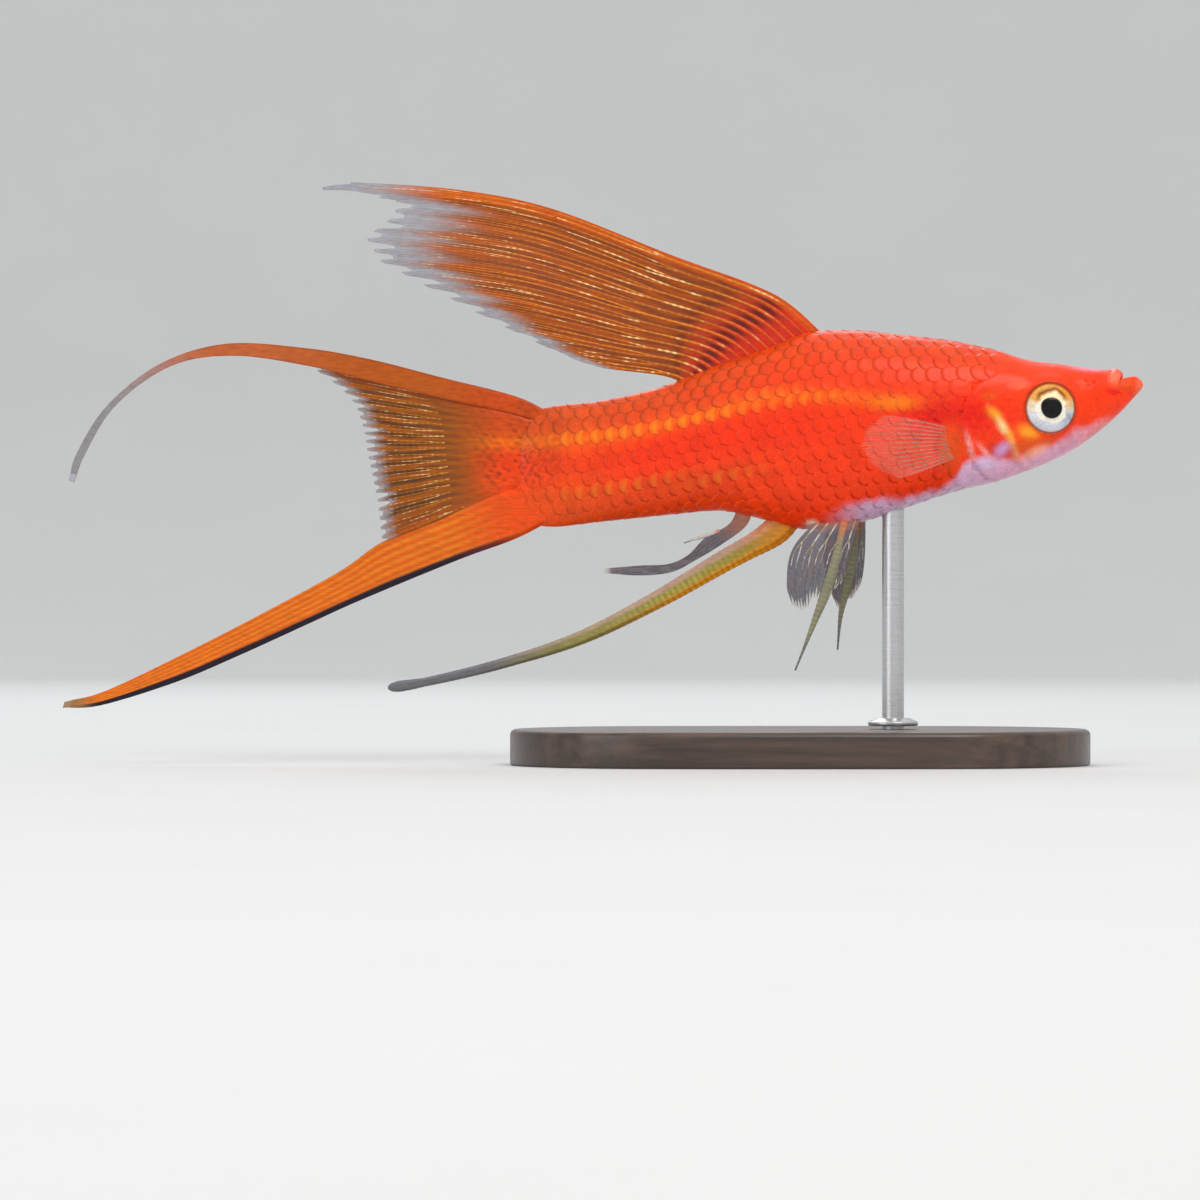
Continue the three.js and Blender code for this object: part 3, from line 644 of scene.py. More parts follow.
def build_scales(settings):
    """The scales of each side as one mesh. A scale is a closed plate whose length across its width is 0.45
    plus 0.55 times the root of one minus the square of the place across, a round free edge towards the
    tail; it climbs evenly from under the skin at its root to just inside the solids at its free edge. The
    left side's lie a little higher, so that the two sides never share a surface along the back."""
    pitch = settings.scale_pitch / MM
    spacing = settings.scale_spacing / MM
    length = SCALE_PITCHES * pitch
    half_width = SCALE_SPACINGS * spacing
    forward, across = np.meshgrid(np.linspace(0.0, 1.0, SCALE_LENGTH_ROWS),
                                  np.linspace(-1.0, 1.0, SCALE_WIDTH_ROWS), indexing="ij")
    reach = 0.45 + 0.55 * np.sqrt(np.clip(1.0 - (0.985 * across) ** 2, 0.0, 1.0))
    back = forward * reach
    rise = -0.150 + 0.072 * back - 0.010 * across ** 2
    material = wet_skin("wet_scales", settings, pore_size=0.3, pore_depth=0.012, growth_rings=True)
    for name, side in SIDES.items():
        places = scale_roots(side, pitch, spacing)
        along0 = places[:, 0, None, None]
        around0 = places[:, 1, None, None]
        root = body_point(along0, around0)
        step = 0.002
        along_speed = np.linalg.norm(body_point(along0 + step, around0) - root, axis=-1) / step
        around_speed = np.linalg.norm(body_point(along0, around0 + step) - root, axis=-1) / step
        girth_share = np.minimum(1.0, along_speed / 60.0)
        along = along0 - back * length * (0.75 + 0.25 * girth_share) / along_speed
        around = around0 - across * half_width / np.maximum(around_speed, 0.8)
        lift = rise + SIDE_LIFT * side
        top = body_point(along, around, lift)
        bottom = body_point(along, around, lift - SCALE_THICKNESS)
        number = len(places)
        size = SCALE_LENGTH_ROWS * SCALE_WIDTH_ROWS
        points = np.concatenate([top.reshape(number, size, 3), bottom.reshape(number, size, 3)], axis=1)
        faces = plate_faces(SCALE_LENGTH_ROWS, SCALE_WIDTH_ROWS)
        quads = (faces[None] + np.arange(number)[:, None, None] * 2 * size).reshape(-1, 4)
        middle = body_point(along0 - 0.6 * length / along_speed, around0)
        base = body_paint(body_point(along, around), np.cos(around))
        tone = np.random.default_rng(31).uniform(-1.0, 1.0, (number, 1, 1))
        x = middle[..., 0]
        on_back = smooth(np.cos(around0), 0.2, 0.7) * smooth(x, 24.0, 12.0)
        hem = smooth(forward, 0.74, 1.0) * (0.06 + 0.34 * on_back)
        paint = mix(base * (1.0 + 0.035 * tone)[..., None], OLIVE_EDGE, hem)
        off_line = middle[..., 2] - height_on(MID_LINE, x)
        # painted glints: a bright yellow dash on each scale of the middle line, and a fainter gold one on
        # each scale of a row lower down
        glint_dash = bell(forward, 0.76, 0.1) * (1.0 - across ** 2)
        glint_dash = glint_dash * smooth(x, -25.5, -22.5) * smooth(x, 8.0, -3.0)
        paint = mix(paint, LINE_GLINT_YELLOW * 1.05, glint_dash * bell(off_line, 0.0, 0.75) * 0.68)
        low_line = middle[..., 2] - (27.2 + 0.09 * (x + 25.0))
        paint = mix(paint, GOLD * 0.8, glint_dash * bell(low_line, 0.0, 0.6) * smooth(x, 0.0, -8.0) * 0.4)
        place = np.stack([along0 + PATCH * (back - 0.5),
                          (around0 + math.pi) / (2.0 * math.pi) - PATCH * 0.5 * across], -1)
        twice = np.concatenate([place.reshape(number, size, 2)] * 2, axis=1)
        paint = np.concatenate([paint.reshape(number, size, 3)] * 2, axis=1)
        ring = np.hypot((forward - 0.35) * 1.2, across * 0.62)
        growth = np.tile(ring.ravel(), 2 * number)
        scales = make_piece("scales_" + name, points.reshape(-1, 3), quads, (),
                            {"paint": paint.reshape(-1, 3), "growth": growth},
                            {"OFBake": twice.reshape(-1, 2)})
        settle(scales, material)


# Eyes

EYE_COLUMNS = 72
EYE_REACH = 2.66
PUPIL_RADIUS = 1.06
PUPIL_BLACK = np.array([0.002, 0.002, 0.002])
EYE_BACK = np.array([0.3, 0.1, 0.05])


def eye_paint(radius, angle, settings):
    """Colour of the eye at a radius and a turn from forward through up: black pupil, bright inner ring,
    an iris that is golden brown above and bluish white below, and a thin red-brown rim."""
    up = np.sin(angle)
    ahead = np.cos(angle)
    wobble = 0.11 * np.sin(angle * 3.0 + 1.0) + 0.07 * np.sin(angle * 7.0 + 2.0)
    wobble = wobble + 0.04 * np.sin(angle * 13.0)
    streak = 0.5 + 0.5 * np.sin(angle * 29.0 + 3.0 * np.sin(angle * 5.0) + radius * 5.0)
    iris = mix(rgb(240, 242, 250), rgb(238, 222, 180), smooth(up, -0.5, 0.2))
    top = smooth(up + 0.12 * streak + 2.0 * wobble, 0.2, 0.8)
    iris = mix(iris, np.array(settings.iris_gold), top * 0.85)
    iris = mix(iris, rgb(106, 60, 14), smooth(up, 0.3, 0.8) * bell(radius + wobble, 1.82, 0.2) * 0.9)
    arc = bell(radius + 0.5 * wobble, 2.12, 0.14) * smooth(up, 0.0, 0.5) * smooth(ahead, -0.4, 0.5)
    iris = mix(iris, rgb(255, 150, 24), arc)
    # painted shade: bluish grey over the lower front of the iris
    shaded = bell(up, -0.45, 0.3) * smooth(ahead, 0.2, 0.8)
    iris = mix(iris, rgb(104, 116, 158), shaded * (0.35 + 0.4 * streak))
    iris = mix(iris, rgb(140, 150, 176), bell(up, -0.8, 0.3) * streak * 0.45)
    iris = iris * (0.84 + 0.16 * streak)[..., None]
    ring = mix(np.array(settings.iris_silver), rgb(255, 220, 140), smooth(up, 0.1, 0.9) * 0.6)
    paint = mix(ring, iris, smooth(radius + wobble, 1.36, 1.66))
    paint = mix(paint, rgb(132, 66, 28), smooth(radius, 2.26, 2.44) * 0.8)
    drawn = radius - 0.08 * bell(angle_from(angle, 2.6), 0.0, 0.5)
    return mix(PUPIL_BLACK, paint, smooth(drawn, PUPIL_RADIUS - 0.05, PUPIL_RADIUS + 0.05))


def angle_from(angle, centre):
    """The turn from centre to angle, from minus to plus half a turn."""
    return (angle - centre + math.pi) % (2.0 * math.pi) - math.pi


def build_eyes(settings):
    """Each eye as one closed revolved body: rings about its axis whose height is eye_height, with a low
    lens swelling over the pupil and a shallow dip round it, and a plain rounded back."""
    front = np.concatenate([np.linspace(0.02, 1.5, 30), np.linspace(1.55, EYE_REACH, 26)])
    rear = np.linspace(EYE_REACH, 0.05, 14)
    lens = 0.1 * np.sqrt(np.clip(1.0 - (front / (PUPIL_RADIUS + 0.12)) ** 2, 0.0, 1.0))
    dip = -0.03 * bell(front, PUPIL_RADIUS + 0.3, 0.2)
    radius = np.concatenate([front, rear])
    height = np.concatenate([eye_height(front) - 0.12 * smooth(front, 0.9, 0.0) + lens + dip,
                             -0.9 * np.sqrt(1.0 - (rear / EYE_RADIUS) ** 2)])
    quads, triangles = tube_faces(len(radius), EYE_COLUMNS)
    material = wet_eye("wet_eye", settings)
    for name, side in SIDES.items():
        centre, axis, forward, upward = eye_axes(side)
        turn = full_turn(EYE_COLUMNS) * -side
        outward = forward * np.cos(turn)[:, None] + upward * np.sin(turn)[:, None]
        points = centre + radius[:, None, None] * outward + height[:, None, None] * axis
        poles = np.stack([centre + axis * height[0], centre + axis * height[-1]])
        radius_grid, turn_grid = np.meshgrid(radius, turn, indexing="ij")
        paint = eye_paint(radius_grid, turn_grid, settings).reshape(-1, 3)
        paint = np.concatenate([paint, [PUPIL_BLACK, EYE_BACK]])
        eye = make_piece("eye_ball_" + name, np.concatenate([points.reshape(-1, 3), poles]), quads,
                         triangles, {"paint": paint})
        settle(eye, material, ("eye_" + name,))


# Fins

def flat(points):
    """Side-view points as points in space on the fish's middle plane."""
    points = np.asarray(points, float)
    return np.stack([points[:, 0], np.zeros(len(points)), points[:, 1]], -1)


def mirrored_y(points):
    """Points with left and right changed over."""
    return np.asarray(points, float) * np.array([1.0, -1.0, 1.0])


DORSAL = {
    "first": flat([(3.0, 42.4), (-0.9, 46.0), (-4.6, 48.0), (-12.8, 51.0), (-24.9, 55.7), (-34.5, 57.6),
                   (-44.8, 58.3), (-48.0, 58.2)]),
    "second": flat([(-10.4, 36.6), (-12.9, 38.7), (-20.7, 39.8), (-40.0, 42.5)]),
    "to": [(0, 1), (0.06, 1), (0.1, 0.87), (0.2, 0.88), (0.35, 0.96), (0.5, 0.95), (0.62, 0.87),
           (0.75, 0.75), (0.87, 0.6), (0.95, 0.46), (1, 0.36)],
    "wave": lambda u, t: 1.0 * t * np.sin(4.2 * u + 2.6 * t),
}
STREAMER = {
    "first": flat([(-24.9, 35.2), (-28.5, 36.9), (-35.6, 38.7), (-43.1, 40.6), (-49.6, 41.7), (-57.4, 42.1),
                   (-63.9, 40.1), (-69.2, 35.9), (-72.2, 31.2), (-73.0, 28.4)]),
    "second": flat([(-25.4, 33.9), (-28.6, 35.0), (-35.6, 36.6), (-43.1, 38.4), (-49.2, 39.9), (-56.6, 40.9),
                    (-62.8, 39.9), (-68.3, 36.0), (-71.4, 31.0), (-72.4, 28.2)]),
    "to": [(0, 1), (1, 1)],
    "wave": lambda u, t: -1.6 * t * t,
}
FAN = {
    "first": flat([(-25.4, 34.3), (-28.6, 35.4), (-35.6, 37.0), (-43.1, 38.7), (-48.9, 39.9)]),
    "second": flat([(-25.6, 28.2), (-30.0, 27.0), (-35.0, 24.9), (-41.9, 22.2)]),
    "to": [(0, 1), (0.1, 0.9), (0.2, 0.86), (0.35, 0.865), (0.5, 0.89), (0.65, 0.91), (0.8, 0.935),
           (1, 0.99)],
    "wave": lambda u, t: 0.5 * t * np.sin(5.0 * u + 1.0),
}
SWORD = {
    "first": flat([(-25.4, 28.5), (-30.0, 27.2), (-35.0, 25.1), (-41.6, 22.4), (-46.0, 19.4), (-53.7, 15.2),
                   (-61.7, 11.1), (-69.5, 7.4), (-73.6, 6.3)]),
    "second": flat([(-24.6, 24.6), (-28.5, 22.6), (-34.2, 20.5), (-43.9, 16.5), (-49.2, 14.1), (-56.0, 11.0),
                    (-62.4, 8.3), (-69.8, 6.0), (-73.8, 5.7)]),
    "to": [(0, 1), (1, 1)],
    "wave": lambda u, t: 0.8 * t * t,
}
ANAL_LOBE = {
    "first": flat([(-6.0, 26.6), (-7.0, 24.2), (-9.5, 22.7), (-11.2, 21.0), (-13.2, 20.1), (-16.0, 19.95),
                   (-19.6, 19.65)]),
    "second": flat([(-4.6, 26.0), (-5.4, 23.9), (-8.0, 21.95), (-10.4, 20.5), (-12.8, 19.3), (-16.0, 18.95),
                    (-19.6, 19.2)]),
    "to": [(0, 1), (1, 1)],
    "wave": lambda u, t: 0.0,
}
PELVIC_RIGHT = {
    "first": mirrored_y([(2.6, 1.0, 25.4), (-0.7, 2.3, 21.8), (-1.4, 2.9, 18.2), (-0.8, 3.2, 15.4)]),
    "second": mirrored_y([(6.2, 1.0, 25.4), (4.9, 2.2, 21.0), (4.1, 2.9, 18.0), (3.0, 3.1, 15.4)]),
    "to": [(0, 0.95), (0.25, 1), (0.4, 0.97), (0.5, 0.87), (0.75, 0.9), (0.9, 0.78), (1, 0.7)],
    "wave": lambda u, t: 0.12 * t * np.sin(14.0 * u),
}
PELVIC_LEFT = {
    "first": np.array([(3.0, 1.0, 25.4), (2.4, 2.3, 21.0), (3.2, 3.0, 17.4), (4.1, 3.3, 15.2)]),
    "second": np.array([(6.6, 1.0, 25.4), (6.6, 2.3, 21.5), (6.4, 3.0, 19.0), (5.9, 3.2, 16.6)]),
    "to": [(0, 0.95), (0.2, 1), (0.45, 0.92), (0.7, 0.95), (1, 0.85)],
    "wave": lambda u, t: 0.12 * t * np.sin(14.0 * u),
}
PECTORAL = {
    "first": np.array([(16.0, 4.2, 33.4), (11.0, 6.2, 34.5), (5.8, 8.2, 35.0)]),
    "second": np.array([(15.6, 4.0, 30.7), (11.0, 5.8, 28.9), (5.6, 7.3, 27.6)]),
    "to": [(0, 0.78), (0.2, 0.95), (0.45, 1), (0.7, 0.9), (1, 0.62)],
    "wave": lambda u, t: 0.15 * t * np.sin(9.0 * u),
}
PELVIC_RAY_RIGHT = mirrored_y([(4.5, 1.2, 25.0), (4.2, 1.5, 23.4), (2.9, 2.8, 18.5), (1.2, 3.4, 14.0),
                               (-0.6, 4.0, 9.5)])
PELVIC_RAY_LEFT = np.array([(5.8, 1.2, 25.2), (5.6, 1.5, 23.6), (4.9, 2.8, 18.5), (4.2, 3.5, 15.0),
                            (3.9, 4.2, 11.5)])
GONOPODIUM_PATH = flat([(-0.4, 26.4), (-2.0, 23.9), (-3.8, 22.5), (-7.6, 20.4), (-14.7, 16.3), (-22.0, 12.7),
                        (-30.0, 10.1), (-37.0, 8.4), (-41.2, 7.7)])


def fin_point(fin, u, share):
    """A point of a fin's middle sheet: u goes from its first edge to its second, share from its base to
    its margin. It lies on the straight line between the same shares of both edges' lengths, cut off at
    the margin's share for that u, and is bent sideways by the fin's wave."""
    margin = np.array(fin["to"], float)
    t = share * np.interp(u, margin[:, 0], margin[:, 1])
    first = curve_by_length(fin["first"], t)
    second = curve_by_length(fin["second"], t)
    point = mix(first, second, u)
    point[..., 1] += fin["wave"](u, t)
    return point


# How many tips a margin has, and how far it is drawn in between them
DORSAL_RAYS = 15
DORSAL_MARGIN = (DORSAL_RAYS, 0.045)
FAN_MARGIN = (20, 0.05)
PELVIC_MARGIN = (16, 0.09)
PECTORAL_MARGIN = (26, 0.05)
EVEN_MARGIN = (1, 0.0)


def drawn_in(margin, u, share):
    """How far a fin's margin is drawn in between its tips, as a share of its length: a cosine with one wave
    for each tip, cut off flat above and below and uneven from tip to tip, that fades away from the margin.
    margin is the number of tips and the depth."""
    tips, depth = margin
    depths = np.random.default_rng(tips).uniform(0.4, 1.6, tips + 2)
    uneven = np.interp(u * tips, np.arange(tips + 2), depths)
    wave = np.clip(0.5 + 0.8 * np.cos(2.0 * math.pi * tips * u), 0.0, 1.0)
    return depth * uneven * wave * share ** 4


def build_web(name, fin, painter, material, thickness, size, margin=EVEN_MARGIN, root=(0.0, 1.0)):
    """A fin's web as a thin closed plate whose margin is drawn in between its tips. root is how much
    thicker its base is, in millimetres, and the share of its length over which that fades. painter gives
    each point's colour and cover."""
    rows, columns = size
    share, u = np.meshgrid(np.linspace(0.0, 1.0, rows), np.linspace(0.0, 1.0, columns), indexing="ij")
    points = fin_point(fin, u, share * (1.0 - drawn_in(margin, u, share)))
    flesh = root[0] * smooth(share, root[1], 0.0) * smooth(np.abs(u - 0.5), 0.53, 0.4)
    plate, quads, source = closed_plate(points, thickness * (1.15 - 0.6 * share) + flesh)
    colour, cover = painter(u, share, points)
    web = make_piece(name, plate, quads, (), {"paint": colour.reshape(-1, 3)[source],
                                              "cover": cover.ravel()[source]})
    web.data.materials.append(material)
    return web


RAY_REACH = 0.985
RAY_SPREAD = 0.9
RAY_SQUASH = 0.75
RAY_END = 0.4
UNSPLIT = (1.0, 1.0)


def ray_lines(fin, rays, splits, rows, margin):
    """Middle lines of a fin's rays. Each ray is one line to the first split, two to the second and four to
    the margin, and a branch leaves its parent along a smooth step. Returns points, u, share and level."""
    base = (np.arange(rays) + 0.5) / rays
    tiers = [(0.0, splits[0], ((0.0, 0.0),)),
             (splits[0], splits[1], ((0.0, -0.25), (0.0, 0.25))),
             (splits[1], 1.0, ((-0.25, -0.375), (-0.25, -0.125), (0.25, 0.125), (0.25, 0.375)))]
    all_u, all_share, all_level = [], [], []
    for level, (start, end, branches) in enumerate(tiers):
        if end <= start:
            continue
        share = np.linspace(max(start - 0.015, 0.0), min(end + 0.01, RAY_REACH), rows)
        for parent, child in branches:
            shift = parent + (child - parent) * smooth(share, start, start + 0.6 * (end - start))
            u = base[:, None] + shift[None] * RAY_SPREAD / rays
            all_u.append(u)
            all_share.append(np.broadcast_to(share, u.shape))
            all_level.append(np.full(u.shape, level))
    u = np.concatenate(all_u)
    share = np.concatenate(all_share)
    points = fin_point(fin, u, share * (1.0 - drawn_in(margin, u, share)))
    return points, u, share, np.concatenate(all_level)


def build_rays(name, fin, rays, splits, radius, painter, material, rows, joint=0.5, margin=EVEN_MARGIN):
    """A fin's bony rays as joined tubes, thinner after each split and towards the margin, and drawn in a
    little at each joint, where joint is the millimetres from one to the next."""
    points, u, share, level = ray_lines(fin, rays, splits, rows, margin)
    run = np.linalg.norm(np.diff(points, axis=1), axis=-1)
    run = np.concatenate([np.zeros((len(run), 1)), np.cumsum(run, axis=1)], axis=1)
    knots = joints(run, joint)
    radii = radius * (1.0 - (1.0 - RAY_END) * share) * (1.0 - 0.16 * level) * (1.0 - 0.14 * knots)
    plate, quads, triangles, tube_of, row_of = tube_set(points, radii, squash=RAY_SQUASH)
    colour, cover = painter(u, share, knots, np.random.default_rng(len(name) + rays))
    colour = np.broadcast_to(colour, u.shape + (3,))
    cover = np.broadcast_to(cover, u.shape)
    piece = make_piece(name, plate, quads, triangles,
                       {"paint": colour[tube_of, row_of], "cover": cover[tube_of, row_of]})
    piece.data.materials.append(material)
    return piece


def join_fin(name, parts, nodes):
    """Joins a web and its rays into one piece that stands for the fin's nodes."""
    for part in bpy.context.scene.objects:
        part.select_set(part in parts)
    bpy.context.view_layer.objects.active = parts[0]
    with bpy.context.temp_override(active_object=parts[0], object=parts[0], selected_objects=parts,
                                   selected_editable_objects=parts):
        bpy.ops.object.join()
    parts[0].name = name
    parts[0].data.name = name
    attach(parts[0], "root")
    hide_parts(*nodes)


GLINT_PLACES = 26


def glints(u, share, source, amount):
    """Painted glints on the rays, as bright dashes: random strengths at GLINT_PLACES places along each line,
    kept where they are high."""
    strength = source.uniform(0.0, 1.0, (u.shape[0], GLINT_PLACES))
    place = np.linspace(0.0, 1.0, GLINT_PLACES)
    value = np.stack([np.interp(row_share, place, row) for row_share, row in zip(share, strength)])
    patch = 0.5 + 0.5 * np.sin(u * 23.0 + share * 9.0)
    return smooth(value + 0.25 * patch, 1.0 - amount, 1.15 - amount)


def dorsal_web(u, share, points):
    """Dorsal web: red at its base, with brown blotches between rays, striped orange brown, grey at its
    tips."""
    between_rays = 1.0 - joints(u - 0.5 / DORSAL_RAYS, 1.0 / DORSAL_RAYS)
    stripe = 0.5 + 0.5 * np.sin(u * 75.0 + ripple(points, 9.0, 41) * 2.0)
    colour = mix(WEB_ORANGE, WEB_BROWN, stripe * 0.75)
    colour = mix(colour, BASE_RED, smooth(share, 0.26, 0.1) * 0.85)
    blotch = bell(share, 0.135 - 0.02 * u, 0.032) + 0.55 * bell(share, 0.23, 0.02)
    colour = mix(colour, BLOTCH_BROWN, np.clip(blotch * smooth(between_rays, 0.3, 0.8), 0.0, 0.85))
    tips = smooth(share + 0.03 * np.sin(u * 60.0), 0.78, 0.97)
    front = smooth(u, 0.075, 0.045)
    colour = mix(colour, SWORD_ORANGE, front * 0.75 * smooth(share, 0.98, 0.8))
    colour = mix(colour, TIP_GREY, tips)
    return colour, 0.96 - (0.36 - 0.2 * front) * tips - 0.08 * stripe * (1.0 - front)


def dorsal_rays(u, share, knots, source):
    """Dorsal rays: orange to gold, dark at the joints, with bright dashes of painted glint, and grey at the
    tips.
    """
    colour = mix(RAY_DARK, RAY_GOLD, 0.35 + 0.4 * (0.5 + 0.5 * np.sin(u * 41.0)) + 0.2 * (1.0 - knots))
    colour = mix(colour, RAY_GLINT, glints(u, share, source, 0.13) * (1.0 - 0.7 * knots))
    colour = mix(colour, BASE_RED, smooth(share, 0.2, 0.06) * 0.6)
    return mix(colour, TIP_GREY, smooth(share, 0.84, 0.97) * 0.85), 1.0 - 0.4 * smooth(share, 0.9, 1.0)


def fan_web(u, share, points):
    """Tail fan web: orange red over the scales' end with brown freckles, olive brown beyond, grey hem."""
    stripe = 0.5 + 0.5 * np.sin(u * 90.0 + ripple(points, 6.0, 42) * 2.0)
    colour = mix(rgb(158, 82, 14), rgb(88, 48, 14), stripe * smooth(share, 0.3, 0.8))
    root = smooth(share, 0.55, 0.2)
    colour = mix(colour, body_paint(points, upward_of(points)), root)
    colour = mix(colour, WEB_ORANGE, (smooth(u, 0.14, 0.0) + smooth(u, 0.86, 1.0)) * 0.8 * (1.0 - root))
    hem = smooth(share, 0.9, 1.0)
    return mix(colour, TIP_GREY, hem * 0.7), 0.98 - 0.4 * hem - 0.12 * stripe * (1.0 - root)


def fan_rays(u, share, knots, source):
    """Tail fan rays: dull gold, orange at the base, with bright dashes of painted glint and dark joints."""
    colour = mix(rgb(140, 74, 14), rgb(216, 136, 36), 0.4 + 0.5 * (1.0 - knots))
    colour = mix(colour, RAY_GLINT, glints(u, share, source, 0.24) * (1.0 - 0.7 * knots))
    colour = mix(colour, rgb(206, 78, 10), smooth(share, 0.55, 0.25) * 0.9)
    return mix(colour, TIP_GREY, smooth(share, 0.9, 1.0) * 0.6), 1.0 - 0.2 * share


def streamer_web(u, share, points):
    """Upper streamer: orange brown, then duller brown and a clear grey tip, darker along its edges."""
    colour = mix(rgb(184, 86, 18), STREAMER_BROWN, smooth(share, 0.3, 0.6))
    colour = mix(colour, TIP_GREY, smooth(share, 0.62, 0.86))
    colour = mix(colour, body_paint(points, upward_of(points)), smooth(share, 0.24, 0.09))
    edges = smooth(np.abs(u - 0.5), 0.34, 0.5)
    colour = mix(colour, RAY_DARK, edges * 0.35 * smooth(share, 0.9, 0.5))
    return colour, 0.95 - 0.5 * smooth(share, 0.6, 0.95)


def streamer_rays(u, share, knots, source):
    """Streamer rays: gold with bright dashes of painted glint, then brown, then pale grey."""
    colour = mix(rgb(196, 96, 22), RAY_GOLD, 0.5 + 0.4 * (1.0 - knots))
    colour = mix(colour, RAY_GLINT, glints(u, share, source, 0.2) * (1.0 - 0.7 * knots))
    colour = mix(colour, rgb(196, 118, 70), smooth(share, 0.4, 0.62) * 0.8)
    return mix(colour, rgb(160, 148, 134), smooth(share, 0.66, 0.86)), 1.0 - 0.3 * smooth(share, 0.7, 1.0)


def sword_border(u, share):
    """Where the sword's dark border lies: it starts behind the tail's base and widens along the sword."""
    top = 0.89 - 0.22 * share ** 1.5
    return smooth(u, top - 0.04, top + 0.04) * smooth(share, 0.03, 0.12)


def sword_web(u, share, points):
    """Sword: bright orange streaks under a brownish top, a blue-black lower border and a brown tip."""
    colour = mix(SWORD_ORANGE, SWORD_BRIGHT, (0.5 + 0.5 * np.sin(u * 38.0 + 2.0 * share)) * 0.7)
    colour = mix(colour, WEB_BROWN, smooth(u, 0.1, 0.0) * 0.6 * smooth(share, 0.5, 0.1))
    border = sword_border(u, share)
    colour = mix(colour, SWORD_BORDER, border)
    root = smooth(share, 0.22, 0.06) * (1.0 - 0.7 * border)
    colour = mix(colour, body_paint(points, upward_of(points)), root)
    return mix(colour, TIP_BROWN, smooth(share, 0.93, 0.99)), 1.0 - 0.3 * smooth(share, 0.94, 1.0)


def sword_rays(u, share, knots, source):
    """Sword rays: orange with yellow streaks and bright painted glints, blue-black within the lower border.
    """
    colour = mix(SWORD_ORANGE, SWORD_BRIGHT, 0.4 + 0.25 * (1.0 - knots))
    colour = mix(colour, RAY_GLINT, glints(u, share, source, 0.12) * 0.7)
    colour = mix(colour, SWORD_BORDER, sword_border(u, share) * 0.95)
    return mix(colour, TIP_BROWN, smooth(share, 0.93, 0.99)), np.ones(u.shape)


def smoky_web(u, share, points):
    """Smoky web of the pelvic fins and the rear of the anal fin, pinkish at its base, pale at its hem."""
    colour = mix(SMOKE, rgb(104, 92, 100), 0.5 + 0.5 * ripple(points, 1.6, 44))
    colour = mix(colour, rgb(206, 128, 92), smooth(share, 0.3, 0.05) * 0.8)
    hem = smooth(share, 0.95, 0.99)
    return mix(colour, RAY_WHITE, hem * 0.8), 0.74 - 0.1 * share + 0.2 * hem


def smoky_rays(u, share, knots, source):
    """Rays of the pelvic fins: pale, a little green, with whitish painted glints and whitish ends."""
    colour = mix(rgb(136, 124, 112), rgb(176, 168, 128), 0.4 + 0.4 * (1.0 - knots))
    colour = mix(colour, RAY_WHITE, glints(u, share, source, 0.34) * 0.8)
    colour = mix(colour, rgb(214, 120, 70), smooth(share, 0.3, 0.05) * 0.8)
    return mix(colour, RAY_WHITE, smooth(share, 0.88, 1.0) * 0.7), np.ones(u.shape)


def clear_web(u, share, points):
    """Nearly clear web of the pectoral fins, faintly orange at the base."""
    colour = mix(rgb(214, 186, 170), rgb(236, 110, 50), smooth(share, 0.35, 0.0))
    return colour, 0.05 + 0.6 * smooth(share, 0.2, 0.02)


def clear_rays(u, share, knots, source):
    """Pale rays of the pectoral fins."""
    colour = mix(rgb(222, 196, 176), rgb(240, 120, 60), smooth(share, 0.4, 0.0) * 0.9)
    return colour, 0.22 - 0.1 * share + 0.5 * smooth(share, 0.2, 0.0)


def build_dorsal(settings):
    """The dorsal fin: its branching rays in their web."""
    web = build_web("dorsal_web", DORSAL, dorsal_web, fin_material("dorsal_skin", settings),
                    settings.web_thickness / MM, (120, 240), DORSAL_MARGIN)
    rays = build_rays("dorsal_rays", DORSAL, DORSAL_RAYS, (0.3, 0.55), settings.ray_radius / MM, dorsal_rays,
                      fin_material("dorsal_bone", settings), 60, 0.75, DORSAL_MARGIN)
    join_fin("dorsal_fin_web", [web, rays], ("dorsal_fin",))


def build_tail(settings):
    """The tail fin in three pieces that overlap as one fin: upper streamer, fan and sword."""
    thickness = settings.web_thickness / MM
    radius = settings.ray_radius / MM
    skin = fin_material("tail_skin", settings)
    bone = fin_material("tail_bone", settings)
    web = build_web("streamer_web", STREAMER, streamer_web, skin, thickness * 2.0, (200, 30),
                    root=(0.7, 0.24))
    rays = build_rays("streamer_rays", STREAMER, 5, UNSPLIT, radius, streamer_rays, bone, 170, 0.8)
    join_fin("caudal_streamer", [web, rays], ("caudal_streamer_root", "caudal_streamer_tip"))
    web = build_web("fan_web", FAN, fan_web, skin, thickness, (110, 220), FAN_MARGIN, (0.95, 0.6))
    rays = build_rays("fan_rays", FAN, 10, (0.25, 0.5), radius, fan_rays, bone, 50, 0.6, FAN_MARGIN)
    join_fin("caudal_fan_web", [web, rays], ("caudal_fan",))
    web = build_web("sword_web", SWORD, sword_web, skin, thickness * 2.4, (200, 60), root=(0.8, 0.26))
    rays = build_rays("sword_rays", SWORD, 9, UNSPLIT, radius * 1.1, sword_rays, bone, 170, 0.8)
    join_fin("caudal_sword_web", [web, rays], ("caudal_sword",))


GONOPODIUM_ROWS = 420
GONOPODIUM_SIDES = 40


